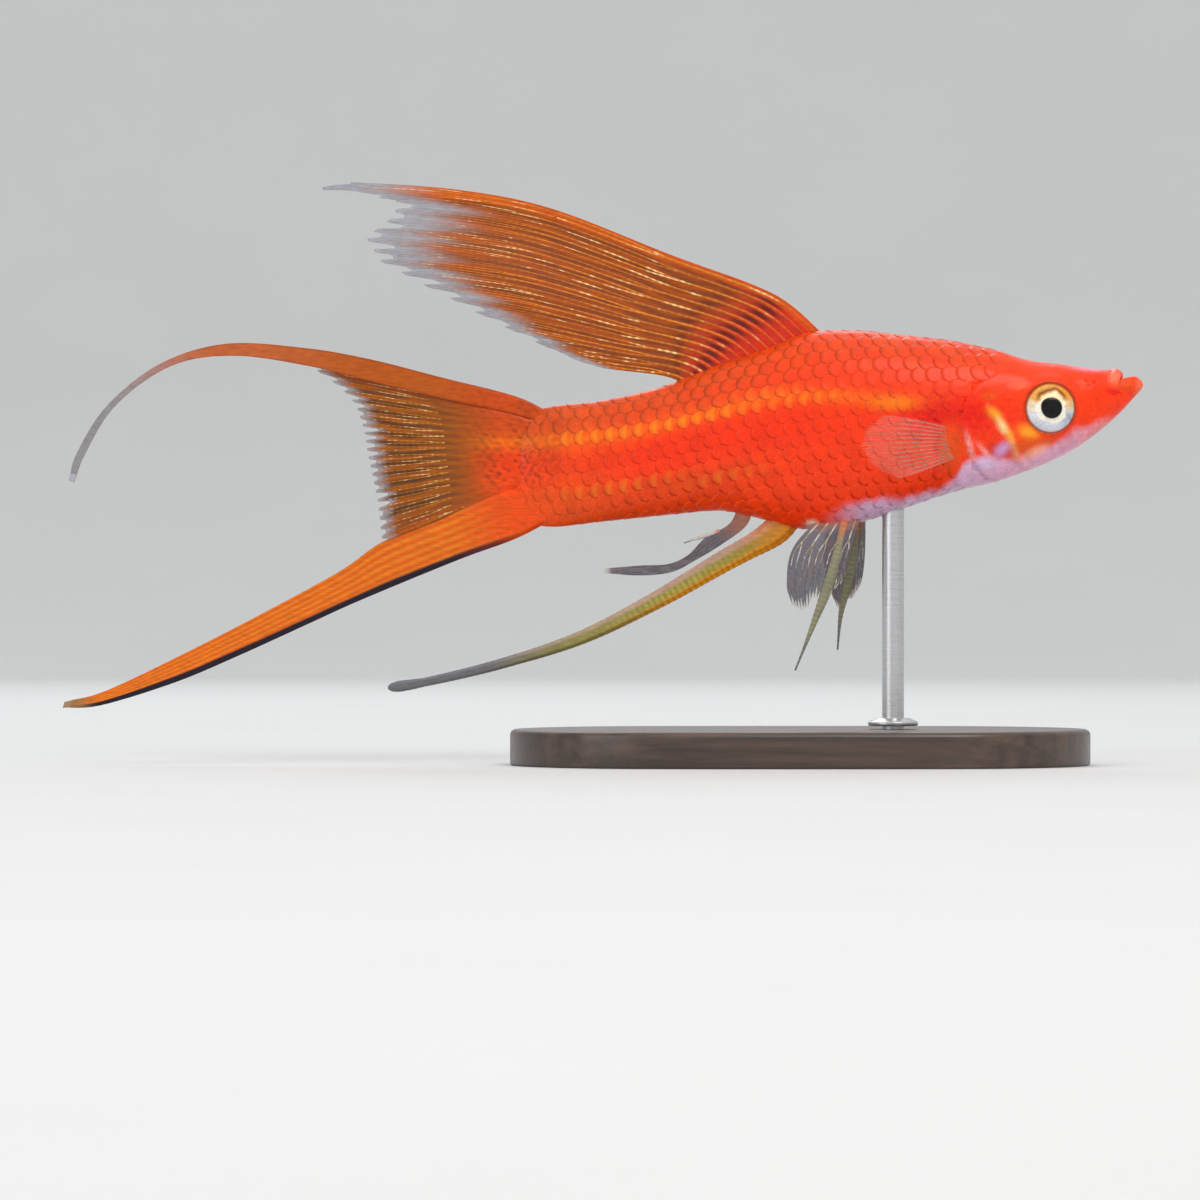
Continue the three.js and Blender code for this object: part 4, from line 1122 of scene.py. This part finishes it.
def gonopodium_paint(share, turn, knots):
    """Grey pink above, olive in the middle with painted yellow-green glints at the joints, an orange-yellow
    leading ray below.
    """
    up = np.sin(turn)
    colour = mix(rgb(150, 132, 56), GREY_PINK, smooth(up, 0.1, 0.7) * 0.8)
    lead = mix(rgb(222, 130, 24), rgb(240, 168, 50), knots)
    colour = mix(colour, lead, smooth(up, -0.2, -0.65) * smooth(share, 0.6, 0.3))
    # painted glints: yellow-green at the joints along the middle of the rod
    colour = mix(colour, rgb(206, 204, 96), knots * bell(up, 0.0, 0.4) * bell(share, 0.36, 0.16) * 0.45)
    colour = mix(colour, rgb(226, 128, 30), smooth(share, 0.2, 0.03) * 0.75)
    colour = mix(colour, rgb(142, 142, 96), bell(share, 0.58, 0.16) * 0.5)
    return mix(colour, SLATE, smooth(share, 0.55, 0.82) * 0.85)


def build_anal(settings):
    """The gonopodium as one rod of oval section along its path, ridged along its three rays and beaded at
    their joints, with the smoky rear lobe of the anal fin and its pale spine."""
    share = np.linspace(0.0, 1.0, GONOPODIUM_ROWS)
    turn = full_turn(GONOPODIUM_SIDES)
    middle = curve_by_length(GONOPODIUM_PATH, share)
    run = np.gradient(middle, axis=0)
    run /= np.linalg.norm(run, axis=1, keepdims=True)
    upward = np.cross(run, SIDEWAYS)
    upward *= np.sign(upward[:, 2:])
    half_height = np.interp(share, (0, 0.07, 0.14, 0.32, 0.42, 0.7, 0.92, 0.95, 0.975, 0.992, 1),
                            (1.65, 1.5, 1.2, 1.0, 0.86, 0.56, 0.45, 0.53, 0.57, 0.45, 0.15))
    half_width = np.interp(share, (0, 0.2, 0.7, 0.92, 0.975, 0.992, 1),
                           (0.75, 0.55, 0.36, 0.3, 0.33, 0.26, 0.08))
    length = np.linalg.norm(np.diff(middle, axis=0), axis=1).sum()
    knots = joints(share * length, 0.62)
    ridge = 1.0 - 0.13 * (0.5 + 0.5 * np.cos(6.0 * turn))[None] - 0.03 * knots[:, None]
    points = (middle[:, None] + upward[:, None] * (half_height[:, None] * np.sin(turn) * ridge)[..., None]
              + SIDEWAYS * (half_width[:, None] * np.cos(turn) * ridge)[..., None])
    share_grid, turn_grid = np.meshgrid(share, turn, indexing="ij")
    colour = gonopodium_paint(share_grid, turn_grid, np.broadcast_to(knots[:, None], share_grid.shape))
    quads, triangles = tube_faces(GONOPODIUM_ROWS, GONOPODIUM_SIDES)
    colour = np.concatenate([colour.reshape(-1, 3), [colour[0, 0], colour[-1, 0]]])
    material = fin_material("gonopodium_skin", settings)
    rod = make_piece("gonopodium_rays", np.concatenate([points.reshape(-1, 3), middle[[0, -1]]]), quads,
                     triangles, {"paint": colour, "cover": np.ones(len(colour))})
    settle(rod, material, ("gonopodium",))
    web = build_web("anal_web", ANAL_LOBE, smoky_web, material, settings.web_thickness / MM * 2.0, (80, 24))
    rays = build_rays("anal_rays", ANAL_LOBE, 4, UNSPLIT, settings.ray_radius / MM * 0.9, smoky_rays,
                      material, 70)
    spine_path = flat([(-8.0, 23.4), (-9.8, 22.85), (-11.6, 22.2)])
    spine = long_ray("anal_spine", spine_path, 0.26, 0.07, RAY_WHITE * 0.8, material)
    join_fin("anal_fin_lobe", [web, rays, spine], ("anal_fin_rear",))


def long_ray(name, path, base, tip, colour, material):
    """A long flat ray along a path, widest before its middle, drawn out to a tip, and jointed."""
    share = np.linspace(0.0, 1.0, 110)
    points = curve_by_length(path, share)[None]
    length = np.linalg.norm(np.diff(points[0], axis=0), axis=1).sum()
    knots = joints(share * length, 0.5)[None]
    blade = between(base * (0.75 + 0.25 * bell(share, 0.4, 0.25)), tip, smooth(share, 0.45, 1.0))
    radii = blade * (1.0 - 0.06 * knots)
    plate, quads, triangles, tube_of, row_of = tube_set(points, radii, sides=10, squash=0.6)
    paint = mix(rgb(220, 116, 60), colour, smooth(share, 0.02, 0.22))
    paint = mix(paint, SLATE, smooth(share, 0.7, 0.95) * 0.8)
    paint = mix(paint, RAY_WHITE, knots[0] * 0.12)
    piece = make_piece(name, plate, quads, triangles, {"paint": paint[row_of],
                       "cover": np.full(len(row_of), 0.88)})
    piece.data.materials.append(material)
    return piece


def build_paired(settings):
    """Pelvic fins with their long outer ray, and the nearly clear pectoral fins, left and right."""
    thickness = settings.web_thickness / MM
    radius = settings.ray_radius / MM
    smoky = fin_material("smoky_fin", settings)
    clear = fin_material("clear_fin", settings)
    pelvics = {"right": (PELVIC_RIGHT, PELVIC_RAY_RIGHT), "left": (PELVIC_LEFT, PELVIC_RAY_LEFT)}
    for name, (fin, path) in pelvics.items():
        web = build_web("pelvic_web_" + name, fin, smoky_web, smoky, thickness, (70, 110), PELVIC_MARGIN)
        rays = build_rays("pelvic_rays_" + name, fin, 5, (0.35, 0.62), radius * 0.8, smoky_rays, smoky, 30)
        outer = long_ray("pelvic_long_" + name, path, 0.56, 0.1, RAY_GREEN, smoky)
        join_fin("pelvic_fin_web_" + name, [web, rays, outer], ("pelvic_fin_" + name,))
    for name, side in SIDES.items():
        fin = dict(PECTORAL)
        if side < 0:
            fin["first"] = mirrored_y(PECTORAL["first"])
            fin["second"] = mirrored_y(PECTORAL["second"])
        web = build_web("pectoral_web_" + name, fin, clear_web, clear, thickness * 0.8, (60, 130),
                        PECTORAL_MARGIN)
        rays = build_rays("pectoral_rays_" + name, fin, 13, (0.45, 1.0), radius * 0.55, clear_rays,
                          clear, 36)
        join_fin("pectoral_fin_web_" + name, [web, rays], ("pectoral_fin_" + name,))


# Stand

BASE_LENGTH = 58.0
BASE_WIDTH = 34.0
BASE_HEIGHT = 3.6
BASE_BEVEL = 0.6
ROD_X = 9.3
ROD_RADIUS = 1.1
BELLY_Z = 26.0
COLLAR = np.array([
    # height, radius
    (3.92, 2.35), (3.95, 2.46), (4.0, 2.5), (4.25, 2.5), (4.3, 2.49),
    (4.34, 2.44), (4.5, 2.1), (4.66, 1.75), (4.7, 1.62), (4.7, 1.12),
])


def ring_solid(name, rings):
    """A closed solid from rings of points laid bottom to top, with a pole at the middle of each end."""
    quads, triangles = tube_faces(*rings.shape[:2])
    poles = np.stack([rings[0].mean(axis=0), rings[-1].mean(axis=0)])
    points = np.concatenate([rings.reshape(-1, 3), poles])
    return make_piece(name, points, quads[:, ::-1], triangles[:, ::-1])


def build_stand(settings):
    """A wooden base, which is a straight-sided oval drawn in along a quarter round at its edges, and a
    steel rod with a low collar, both turned about the rod's line."""
    bend = np.linspace(0.0, math.pi / 2, 8)
    inset = np.concatenate([[6.0, 0.5], 0.25 * (1 - np.sin(bend)), BASE_BEVEL * (1 - np.cos(bend)),
                            [BASE_BEVEL + 0.1, 3.0, 9.0]])
    height = np.concatenate([[0.0, 0.0], 0.25 * (1 - np.cos(bend)),
                             BASE_HEIGHT - BASE_BEVEL * (1 - np.sin(bend)),
                             [BASE_HEIGHT, BASE_HEIGHT, BASE_HEIGHT]])
    turn = full_turn(160)
    straight = (BASE_LENGTH - BASE_WIDTH) / 2.0
    radius = BASE_WIDTH / 2.0 - inset[:, None]
    x = straight * np.tanh(6.0 * np.cos(turn)) / np.tanh(6.0) + radius * np.cos(turn)
    y = radius * np.sin(turn)
    rings = np.stack([x, y, np.broadcast_to(height[:, None], x.shape)], -1)
    base = ring_solid("stand_base_wood", rings)
    settle(base, dark_wood("stained_wood", settings), ("stand_base",))
    steel = brushed_steel("brushed_steel", settings)
    rod_z = np.concatenate([[BASE_HEIGHT - 2.4], np.linspace(BASE_HEIGHT - 2.3, BELLY_Z, 40)])
    rod_radius = np.concatenate([[ROD_RADIUS - 0.1], np.full(40, ROD_RADIUS)])
    ring = full_turn(72)
    parts = []
    for part, z, wide in (("rod", rod_z, rod_radius), ("collar", COLLAR[:, 0], COLLAR[:, 1])):
        rings = np.stack([ROD_X + wide[:, None] * np.cos(ring), wide[:, None] * np.sin(ring),
                          np.broadcast_to(z[:, None], (len(z), len(ring)))], -1)
        piece = ring_solid("stand_" + part, rings)
        piece.data.materials.append(steel)
        parts.append(piece)
    join_fin("stand_rod_steel", parts, ("stand_rod",))


# Finishes

class Finish:
    """A material of one glossy surface, with short names for the nodes that its finishes use."""

    def __init__(self, name):
        self.material = bpy.data.materials.new(name)
        self.material.use_nodes = True
        self.tree = self.material.node_tree
        self.tree.nodes.clear()
        self.output = self.tree.nodes.new("ShaderNodeOutputMaterial")
        self.surface = self.tree.nodes.new("ShaderNodeBsdfPrincipled")
        self.tree.links.new(self.surface.outputs["BSDF"], self.output.inputs["Surface"])
        self.place = self.tree.nodes.new("ShaderNodeTexCoord").outputs["Object"]

    def constant(self, **values):
        """Plain values for the surface's own sockets."""
        for key, value in values.items():
            self.surface.inputs[key.replace("_", " ")].default_value = value

    def feed(self, socket, value):
        """A link where value is another node's output, or else a plain value."""
        if isinstance(value, bpy.types.NodeSocket):
            self.tree.links.new(value, socket)
        else:
            socket.default_value = value

    def surface_feed(self, name, value):
        """The same for one of the surface's own sockets."""
        self.feed(self.surface.inputs[name], value)

    def attribute(self, name, output="Color"):
        """A value that the mesh keeps for each of its points."""
        node = self.tree.nodes.new("ShaderNodeAttribute")
        node.attribute_name = name
        return node.outputs[output]

    def noise(self, size, detail=3.0, stretch=(1.0, 1.0, 1.0), roughness=0.55):
        """Noise whose features are size millimetres, drawn out along the axes by stretch."""
        mapping = self.tree.nodes.new("ShaderNodeMapping")
        mapping.inputs["Scale"].default_value = [1.0 / (size * MM * part) for part in stretch]
        self.tree.links.new(self.place, mapping.inputs["Vector"])
        node = self.tree.nodes.new("ShaderNodeTexNoise")
        node.inputs["Scale"].default_value = 1.0
        node.inputs["Detail"].default_value = detail
        node.inputs["Roughness"].default_value = roughness
        self.tree.links.new(mapping.outputs["Vector"], node.inputs["Vector"])
        return node.outputs["Fac"]

    def sum(self, operation, first, second=0.0):
        """A sum on one or two numbers."""
        node = self.tree.nodes.new("ShaderNodeMath")
        node.operation = operation
        self.feed(node.inputs[0], first)
        self.feed(node.inputs[1], second)
        return node.outputs[0]

    def range(self, value, low, high, to_low, to_high):
        """value, carried from low to high over to the range from to_low to to_high."""
        node = self.tree.nodes.new("ShaderNodeMapRange")
        for socket, number in zip(list(node.inputs)[:5], (value, low, high, to_low, to_high)):
            self.feed(socket, number)
        return node.outputs[0]

    def uneven(self, size, low, high, detail=2.0, stretch=(1.0, 1.0, 1.0)):
        """Noise whose usual spread is carried over to the range from low to high."""
        return self.range(self.noise(size, detail, stretch), 0.3, 0.7, low, high)

    def shade(self, colour, factor):
        """A colour times a number."""
        node = self.tree.nodes.new("ShaderNodeVectorMath")
        node.operation = "SCALE"
        self.feed(node.inputs[0], colour)
        self.feed(node.inputs["Scale"], factor)
        return node.outputs[0]

    def bump(self, height, depth):
        """Small relief: height from 0 to 1 stands for depth in millimetres."""
        node = self.tree.nodes.new("ShaderNodeBump")
        node.inputs["Distance"].default_value = depth * MM
        self.tree.links.new(height, node.inputs["Height"])
        self.tree.links.new(node.outputs["Normal"], self.surface.inputs["Normal"])


def wet_skin(name, settings, pore_size, pore_depth, growth_rings=False):
    """Wet fish skin: the painted colour, uneven by small chromatophore dots, fine pores in relief, rings of
    growth on scales, and a thin clear coat of slime."""
    finish = Finish(name)
    dots = finish.uneven(0.16, 0.84, 1.12)
    clouds = finish.uneven(1.6, 0.93, 1.07, 3.0)
    colour = finish.shade(finish.attribute("paint"), finish.sum("MULTIPLY", dots, clouds))
    finish.surface_feed("Base Color", colour)
    height = finish.noise(pore_size, 2.0)
    if growth_rings:
        rings = finish.sum("SINE", finish.sum("MULTIPLY", finish.attribute("growth", "Fac"), 75.0))
        height = finish.sum("ADD", height, finish.sum("MULTIPLY", rings, 0.35))
    finish.bump(height, pore_depth)
    finish.surface_feed("Roughness", finish.uneven(0.8, 0.3, 0.44))
    finish.constant(Coat_Weight=settings.skin_gloss, Coat_Roughness=0.16, Coat_IOR=1.38, IOR=1.4,
                    Specular_IOR_Level=0.3)
    return finish.material


def wet_eye(name, settings):
    """Wet eye: painted iris with fine mottling under a smooth clear cornea."""
    finish = Finish(name)
    mottle = finish.uneven(0.14, 0.82, 1.12, 3.0)
    finish.surface_feed("Base Color", finish.shade(finish.attribute("paint"), mottle))
    finish.surface_feed("Roughness", finish.uneven(0.3, 0.3, 0.4))
    finish.constant(Specular_IOR_Level=0.15, Coat_Weight=settings.eye_gloss, Coat_Roughness=0.03,
                    Coat_IOR=1.42)
    return finish.material


def fin_material(name, settings):
    """Fin web or ray: the painted colour with faint streaks, the painted cover as its see-through share,
    fine creases and a wet gloss."""
    finish = Finish(name)
    streaks = finish.uneven(0.22, 0.82, 1.14, 3.0, (5.0, 1.0, 1.0))
    finish.surface_feed("Base Color", finish.shade(finish.attribute("paint"), streaks))
    thin = finish.uneven(0.5, 0.96, 1.0)
    finish.surface_feed("Alpha", finish.sum("MULTIPLY", finish.attribute("cover", "Fac"), thin))
    finish.surface_feed("Roughness", finish.uneven(0.6, 0.32, 0.48))
    finish.bump(finish.noise(0.25, 2.0, (4.0, 1.0, 1.0)), 0.02)
    finish.constant(Coat_Weight=settings.fin_gloss, Coat_Roughness=0.2, IOR=1.4, Specular_IOR_Level=0.3)
    return finish.material


def dark_wood(name, settings):
    """Stained hardwood: long grain and pores along the base, under a satin lacquer."""
    finish = Finish(name)
    grain = finish.noise(1.3, 5.0, (14.0, 1.0, 1.0), 0.6)
    bands = finish.noise(4.0, 3.0, (9.0, 1.0, 1.6), 0.5)
    tone = finish.sum("MULTIPLY", finish.range(grain, 0.35, 0.65, 0.55, 1.35),
                      finish.range(bands, 0.35, 0.65, 0.75, 1.25))
    finish.surface_feed("Base Color", finish.shade(tuple(settings.wood_colour), tone))
    finish.bump(finish.noise(0.45, 3.0, (22.0, 1.0, 1.0)), 0.03)
    finish.surface_feed("Roughness", finish.range(grain, 0.3, 0.7, 0.34, 0.5))
    finish.constant(Coat_Weight=0.35, Coat_Roughness=0.25)
    return finish.material


def brushed_steel(name, settings):
    """Fine steel, brushed round the rod, so its scratches run level."""
    finish = Finish(name)
    scratch = finish.noise(0.05, 3.0, (60.0, 60.0, 1.0), 0.6)
    tone = finish.range(scratch, 0.3, 0.7, 0.86, 1.08)
    finish.surface_feed("Base Color", finish.shade(tuple(settings.steel_colour), tone))
    finish.surface_feed("Roughness", finish.range(scratch, 0.3, 0.7, 0.24, 0.42))
    finish.bump(scratch, 0.006)
    finish.constant(Metallic=1.0)
    return finish.material


def pale_paper(name, settings):
    """The matt backdrop, with a very faint unevenness."""
    finish = Finish(name)
    tone = finish.uneven(40.0, 0.99, 1.01)
    finish.surface_feed("Base Color", finish.shade(tuple(settings.backdrop_colour), tone))
    finish.constant(Roughness=0.9)
    return finish.material


# Stage

PHOTO_CENTRE = (-20.0, 16.5)
PHOTO_WIDTH = 120.0
LENS = 200.0
SENSOR = 36.0
BOWL_TURN = 300.0
WALL_HEIGHT = 520.0
FLOOR_RINGS = 30
LIGHT_TARGET = (-0.02, 0.0, 0.03)
WARM = (1.0, 0.97, 0.93)
COOL = (0.93, 0.96, 1.0)
LIGHTS = [
    # name, place, size, share of the key light's power, colour
    ("key_light", (0.25, -0.62, 0.62), 0.4, 1.0, WARM),
    ("fill_light", (-0.5, -0.42, 0.22), 0.4, 0.3, COOL),
    ("rim_light", (-0.1, 0.5, 0.52), 0.4, 0.45, COOL),
    ("top_light", (0.0, 0.0, 0.75), 0.5, 0.15, WARM),
]


def add_light(name, place, size, power, colour):
    """A square area light at place, facing the fish."""
    data = bpy.data.lights.new(name, "AREA")
    data.shape = "SQUARE"
    data.size = size
    data.energy = power
    data.color = colour
    lamp = bpy.data.objects.new(name, data)
    bpy.context.scene.collection.objects.link(lamp)
    lamp.location = place
    toward = np.array(LIGHT_TARGET) - np.array(place)
    yaw = math.atan2(toward[1], toward[0]) - math.pi / 2
    pitch = math.atan2(toward[2], math.hypot(toward[0], toward[1])) + math.pi / 2
    lamp.rotation_euler = (pitch, 0.0, yaw)


def build_stage(settings):
    """The pale bowl, which is a flat floor whose edge turns up along a quarter circle into a wall all
    round, soft lights within it, a pale sky over it, and the camera at the photo's level side view."""
    floor_radius = settings.floor_radius / MM
    bend = np.linspace(0.0, math.pi / 2, 24)
    radius = np.concatenate([np.linspace(1.0, floor_radius, FLOOR_RINGS),
                             floor_radius + BOWL_TURN * np.sin(bend)[1:], [floor_radius + BOWL_TURN]])
    height = np.concatenate([np.zeros(FLOOR_RINGS), BOWL_TURN * (1 - np.cos(bend))[1:], [WALL_HEIGHT]])
    turn = full_turn(128)
    rings = np.stack([radius[:, None] * np.cos(turn), radius[:, None] * np.sin(turn),
                      np.broadcast_to(height[:, None], (len(radius), len(turn)))], -1)
    quads = grid_faces(len(radius), len(turn), closed=True)
    points = np.concatenate([rings.reshape(-1, 3), [[0.0, 0.0, 0.0]]])
    triangles = fan_faces(np.arange(len(turn)), len(points) - 1)
    bowl = make_piece("stage_floor", points, quads, triangles)
    bowl.data.materials.append(pale_paper("pale_paper", settings))
    for name, place, size, share, colour in LIGHTS:
        add_light(name, place, size, settings.key_power * share, colour)
    world = bpy.data.worlds.new("pale_sky")
    world.use_nodes = True
    sky = world.node_tree.nodes["Background"]
    sky.inputs["Color"].default_value = (0.95, 0.97, 1.0, 1.0)
    sky.inputs["Strength"].default_value = settings.sky_strength
    bpy.context.scene.world = world
    bpy.context.scene.view_settings.view_transform = "Standard"
    data = bpy.data.cameras.new("photo_camera")
    data.lens = LENS
    data.sensor_width = SENSOR
    data.clip_start = 0.01
    data.clip_end = 10.0
    camera = bpy.data.objects.new("photo_camera", data)
    bpy.context.scene.collection.objects.link(camera)
    distance = PHOTO_WIDTH * LENS / SENSOR
    camera.location = (PHOTO_CENTRE[0] * MM, -distance * MM, PHOTO_CENTRE[1] * MM)
    camera.rotation_euler = (math.pi / 2, 0.0, 0.0)
    bpy.context.scene.camera = camera


# Add-on

class SwordtailBody(PropertyGroup):
    """Sizes and gloss of the skin, scales and eyes."""
    scale_pitch: FloatProperty(name="Scale pitch", description="From one scale to the next along a row",
                               default=0.00152, min=0.0008, max=0.003, precision=5, unit="LENGTH")
    scale_spacing: FloatProperty(name="Row spacing", description="From one row of scales to the next",
                                 default=0.00140, min=0.0008, max=0.003, precision=5, unit="LENGTH")
    skin_gloss: FloatProperty(name="Skin gloss", description="Weight of the wet coat on the skin",
                              default=0.22, min=0.0, max=1.0, subtype="FACTOR")
    eye_gloss: FloatProperty(name="Eye gloss", description="Weight of the clear coat on the eyes",
                             default=0.35, min=0.0, max=1.0, subtype="FACTOR")
    iris_gold: FloatVectorProperty(name="Iris gold", description="Upper part of the iris", size=3,
                                   default=tuple(rgb(244, 156, 30)), min=0.0, max=1.0, subtype="COLOR")
    iris_silver: FloatVectorProperty(name="Iris silver", description="Ring round the pupil", size=3,
                                     default=tuple(rgb(250, 244, 226)), min=0.0, max=1.0, subtype="COLOR")


class SwordtailFins(PropertyGroup):
    """Sizes and gloss of the fins."""
    web_thickness: FloatProperty(name="Web thickness", description="Thickness of a fin's web at its base",
                                 default=0.00010, min=0.00004, max=0.0005, precision=5, unit="LENGTH")
    ray_radius: FloatProperty(name="Ray radius", description="Radius of a fin ray at its base",
                              default=0.00017, min=0.00005, max=0.0004, precision=5, unit="LENGTH")
    fin_gloss: FloatProperty(name="Fin gloss", description="Weight of the wet coat on the fins",
                             default=0.15, min=0.0, max=1.0, subtype="FACTOR")


class SwordtailStand(PropertyGroup):
    """Colours of the stand."""
    wood_colour: FloatVectorProperty(name="Wood", description="Stain of the base", size=3,
                                     default=(0.062, 0.036, 0.024), min=0.0, max=1.0, subtype="COLOR")
    steel_colour: FloatVectorProperty(name="Steel", description="Colour of the rod", size=3,
                                      default=(0.62, 0.62, 0.63), min=0.0, max=1.0, subtype="COLOR")


class SwordtailStage(PropertyGroup):
    """Backdrop and light."""
    backdrop_colour: FloatVectorProperty(name="Backdrop", description="Colour of the floor and wall", size=3,
                                         default=(0.67, 0.67, 0.66), min=0.0, max=1.0, subtype="COLOR")
    floor_radius: FloatProperty(name="Floor radius", description="Radius of the flat part of the floor",
                                default=0.75, min=0.3, max=3.0, unit="LENGTH")
    key_power: FloatProperty(name="Key light", description="Power of the main light in watts",
                             default=2.9, min=0.0, max=100.0)
    sky_strength: FloatProperty(name="Sky", description="Strength of the pale sky", default=0.8,
                                min=0.0, max=5.0)


class SWORDTAIL_OT_skin(Operator):
    """Build the one skin over the fish's flesh"""
    bl_idname = "swordtail.skin"
    bl_label = "Skin"

    def execute(self, context):
        build_skin(context.scene.swordtail_body)
        return {"FINISHED"}


class SWORDTAIL_OT_scales(Operator):
    """Build the scales of both sides"""
    bl_idname = "swordtail.scales"
    bl_label = "Scales"

    def execute(self, context):
        build_scales(context.scene.swordtail_body)
        return {"FINISHED"}


class SWORDTAIL_OT_eyes(Operator):
    """Build both eyes"""
    bl_idname = "swordtail.eyes"
    bl_label = "Eyes"

    def execute(self, context):
        build_eyes(context.scene.swordtail_body)
        return {"FINISHED"}


class SWORDTAIL_OT_dorsal_fin(Operator):
    """Build the dorsal fin's web and rays"""
    bl_idname = "swordtail.dorsal_fin"
    bl_label = "Dorsal fin"

    def execute(self, context):
        build_dorsal(context.scene.swordtail_fins)
        return {"FINISHED"}


class SWORDTAIL_OT_tail_fin(Operator):
    """Build the tail fin's streamer, fan and sword"""
    bl_idname = "swordtail.tail_fin"
    bl_label = "Tail fin"

    def execute(self, context):
        build_tail(context.scene.swordtail_fins)
        return {"FINISHED"}


class SWORDTAIL_OT_anal_fin(Operator):
    """Build the gonopodium and the anal fin's rear lobe"""
    bl_idname = "swordtail.anal_fin"
    bl_label = "Anal fin"

    def execute(self, context):
        build_anal(context.scene.swordtail_fins)
        return {"FINISHED"}


class SWORDTAIL_OT_paired_fins(Operator):
    """Build the pelvic and pectoral fins"""
    bl_idname = "swordtail.paired_fins"
    bl_label = "Paired fins"

    def execute(self, context):
        build_paired(context.scene.swordtail_fins)
        return {"FINISHED"}


class SWORDTAIL_OT_stand(Operator):
    """Build the stand's base and rod"""
    bl_idname = "swordtail.stand"
    bl_label = "Stand"

    def execute(self, context):
        build_stand(context.scene.swordtail_stand)
        return {"FINISHED"}


class SWORDTAIL_OT_stage(Operator):
    """Build the backdrop, lights and camera"""
    bl_idname = "swordtail.stage"
    bl_label = "Stage"

    def execute(self, context):
        build_stage(context.scene.swordtail_stage)
        return {"FINISHED"}


OPERATORS = (SWORDTAIL_OT_stage, SWORDTAIL_OT_skin, SWORDTAIL_OT_scales, SWORDTAIL_OT_eyes,
             SWORDTAIL_OT_dorsal_fin, SWORDTAIL_OT_tail_fin, SWORDTAIL_OT_anal_fin, SWORDTAIL_OT_paired_fins,
             SWORDTAIL_OT_stand)
GROUPS = {"swordtail_body": SwordtailBody, "swordtail_fins": SwordtailFins,
          "swordtail_stand": SwordtailStand, "swordtail_stage": SwordtailStage}


class SWORDTAIL_PT_pieces(Panel):
    """Lists the settings and the pieces to build"""
    bl_idname = "SWORDTAIL_PT_pieces"
    bl_label = "Swordtail"
    bl_space_type = "VIEW_3D"
    bl_region_type = "UI"
    bl_category = "Swordtail"

    def draw(self, context):
        for group_name, group in GROUPS.items():
            box = self.layout.box()
            for setting in group.__annotations__:
                box.prop(getattr(context.scene, group_name), setting)
        for operator in OPERATORS:
            self.layout.operator(operator.bl_idname)


def register():
    """Registers the settings, operators and panel."""
    for group_name, group in GROUPS.items():
        bpy.utils.register_class(group)
        setattr(bpy.types.Scene, group_name, PointerProperty(type=group))
    for operator in OPERATORS:
        bpy.utils.register_class(operator)
    bpy.utils.register_class(SWORDTAIL_PT_pieces)


def unregister():
    """Takes them away again."""
    bpy.utils.unregister_class(SWORDTAIL_PT_pieces)
    for operator in reversed(OPERATORS):
        bpy.utils.unregister_class(operator)
    for group_name, group in GROUPS.items():
        delattr(bpy.types.Scene, group_name)
        bpy.utils.unregister_class(group)


def corners(bounds):
    """A box's two corners as plain lists."""
    return [list(corner) for corner in bounds]


def main():
    """Builds every piece in order."""
    register()
    for operator in OPERATORS:
        family, name = operator.bl_idname.split(".")
        getattr(getattr(bpy.ops, family), name)()


if __name__ == "__main__":
    main()
